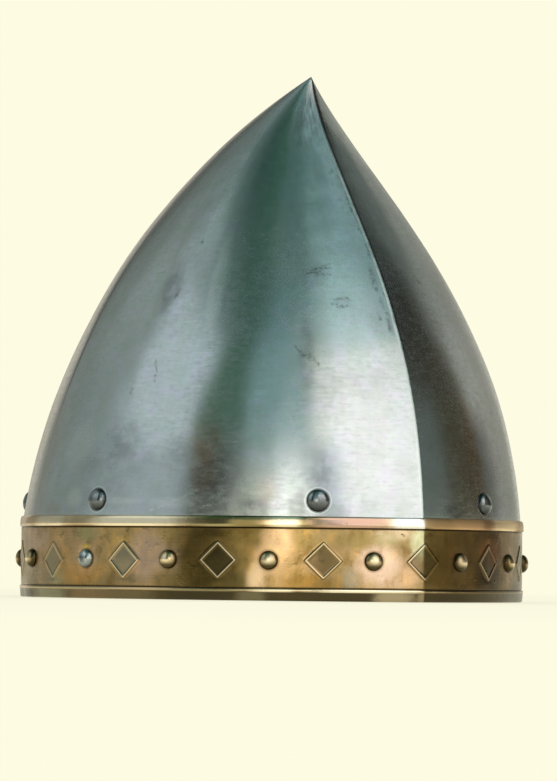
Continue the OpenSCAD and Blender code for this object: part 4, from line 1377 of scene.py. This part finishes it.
# Cards and flags: name, azimuth from and to, elevation from and to, colour below and above.
CARDS = [
    ("wall_left_far_low", -180, -152, -8, 14.5, (0.64, 0.59, 0.48), (0.62, 0.57, 0.475)),
    ("wall_left_far", -177, -156, 14.5, 45, (0.45, 0.41, 0.36), (0.38, 0.355, 0.31)),
    ("wall_left_rear_low", -156, -126, -6, 14, (0.35, 0.35, 0.3), (0.28, 0.285, 0.245)),
    ("wall_left_rear", -156, -141, 14, 64, (0.16, 0.17, 0.145), (0.09, 0.11, 0.09)),
    ("wall_left_side", -141, -126, 14, 64, (0.3, 0.33, 0.3), (0.11, 0.15, 0.14)),
    ("wall_left", -126, -92, -6, 42, (0.26, 0.3, 0.275), (0.35, 0.41, 0.38)),
    ("wall_left_crest", -108, -68, 46, 59, (0.43, 0.51, 0.5), (0.26, 0.36, 0.34)),
    ("wall_left_crest_side", -126, -108, 42, 59, (0.28, 0.33, 0.3), (0.17, 0.23, 0.21)),
    ("wall_left_gap", -68, -54, 46, 59, (0.22, 0.3, 0.29), (0.06, 0.12, 0.1)),
    ("wall_left_link", -108, -92, 42, 46, (0.36, 0.42, 0.4), (0.42, 0.49, 0.48)),
    ("wall_left_high", -126, -54, 59, 67, (0.12, 0.19, 0.17), (0.045, 0.1, 0.08)),
    ("wall_left_low", -92, -48, -6, 20, (0.43, 0.49, 0.49), (0.48, 0.55, 0.55)),
    ("wall_left_bright", -92, -50, 20, 47, (0.42, 0.48, 0.49), (0.38, 0.45, 0.47)),
    ("flag_left_low", -48, -27, -8, 24, (0.09, 0.095, 0.08), (0.1, 0.125, 0.11)),
    ("flag_left", -54, -27, 24, 84, (0.08, 0.165, 0.11), (0.03, 0.095, 0.065)),
    ("lamp_low", -15, 3, -4, 15, (2.6, 2.4, 2.1), (1.5, 1.52, 1.45)),
    ("wall_front_low", -27, -12, 14, 26, (0.42, 0.5, 0.48), (0.3, 0.44, 0.43)),
    ("wall_front_glow", -12, 3, 15, 26, (1.25, 1.25, 1.22), (0.38, 0.52, 0.52)),
    ("wall_front", -27, 3, 26, 47, (0.3, 0.47, 0.47), (0.24, 0.4, 0.4)),
    ("wall_front_high", -27, 14, 47, 66, (0.24, 0.4, 0.4), (0.08, 0.18, 0.165)),
    ("wall_front_foot", 3, 15, -6, 22, (0.62, 0.64, 0.6), (0.62, 0.72, 0.72)),
    ("wall_right_low", 15, 62, -4, 4, (1.9, 1.9, 1.85), (1.5, 1.5, 1.5)),
    ("wall_right_high", 14, 50, 47, 71, (0.78, 1.02, 1.02), (0.38, 0.62, 0.61)),
    ("wall_right_ridge", 50, 84, 47, 71, (0.34, 0.5, 0.5), (0.3, 0.47, 0.47)),
    ("flag_right_low", 64, 96, -8, 26, (0.16, 0.19, 0.165), (0.13, 0.16, 0.14)),
    ("flag_right", 64, 84, 26, 47, (0.13, 0.16, 0.14), (0.12, 0.16, 0.15)),
    ("flag_right_brown", 96, 121, -8, 26, (0.095, 0.074, 0.038), (0.066, 0.053, 0.029)),
    ("flag_right_deep", 84, 121, 26, 42, (0.058, 0.048, 0.031), (0.025, 0.024, 0.02)),
    ("flag_right_top", 84, 121, 42, 66, (0.03, 0.034, 0.03), (0.1, 0.13, 0.115)),
    ("wall_right_foot", 121, 131, -6, 14, (0.09, 0.09, 0.08), (0.22, 0.215, 0.185)),
    ("wall_right_glow", 131, 140, -6, 14, (0.36, 0.345, 0.3), (0.47, 0.45, 0.39)),
    ("wall_right_rear", 140, 159, -6, 14, (0.34, 0.33, 0.27), (0.4, 0.385, 0.325)),
    ("wall_right", 121, 140, 14, 25, (0.46, 0.45, 0.39), (0.4, 0.4, 0.35)),
    ("wall_right_back", 140, 159, 14, 25, (0.36, 0.355, 0.3), (0.31, 0.315, 0.27)),
    ("wall_right_upper", 121, 159, 25, 32, (0.36, 0.37, 0.32), (0.29, 0.305, 0.26)),
    ("wall_right_far", 159, 176, -6, 15, (1.05, 1.02, 0.86), (0.32, 0.315, 0.265)),
    ("wall_right_far_top", 159, 172, 15, 32, (0.42, 0.42, 0.36), (0.6, 0.58, 0.5)),
    ("wall_right_top", 121, 162, 32, 66, (0.16, 0.18, 0.16), (0.15, 0.19, 0.17)),
    ("ceiling_left", -180, -35, 66, 90, (0.03, 0.085, 0.065), (0.05, 0.12, 0.105)),
    ("ceiling_right", -35, 180, 66, 90, (0.085, 0.165, 0.15), (0.05, 0.12, 0.105))]


def studio():
    softbox("softbox_right", 34.5, 25, 2.17, 1.8, (0.85, 0.79, 1.0), 1.62)
    softbox("softbox_left", -69, 33, 1.45, 1.25, (0.90, 0.99, 1.0), 0.69)
    for index, row in enumerate(CARDS):
        card(*row, CARDS_AWAY + 0.01 * index)
    cream_world()
    pale_floor()


add_camera()
studio()
bpy.context.scene.view_settings.view_transform = "Standard"

bpy.context.view_layer.update()
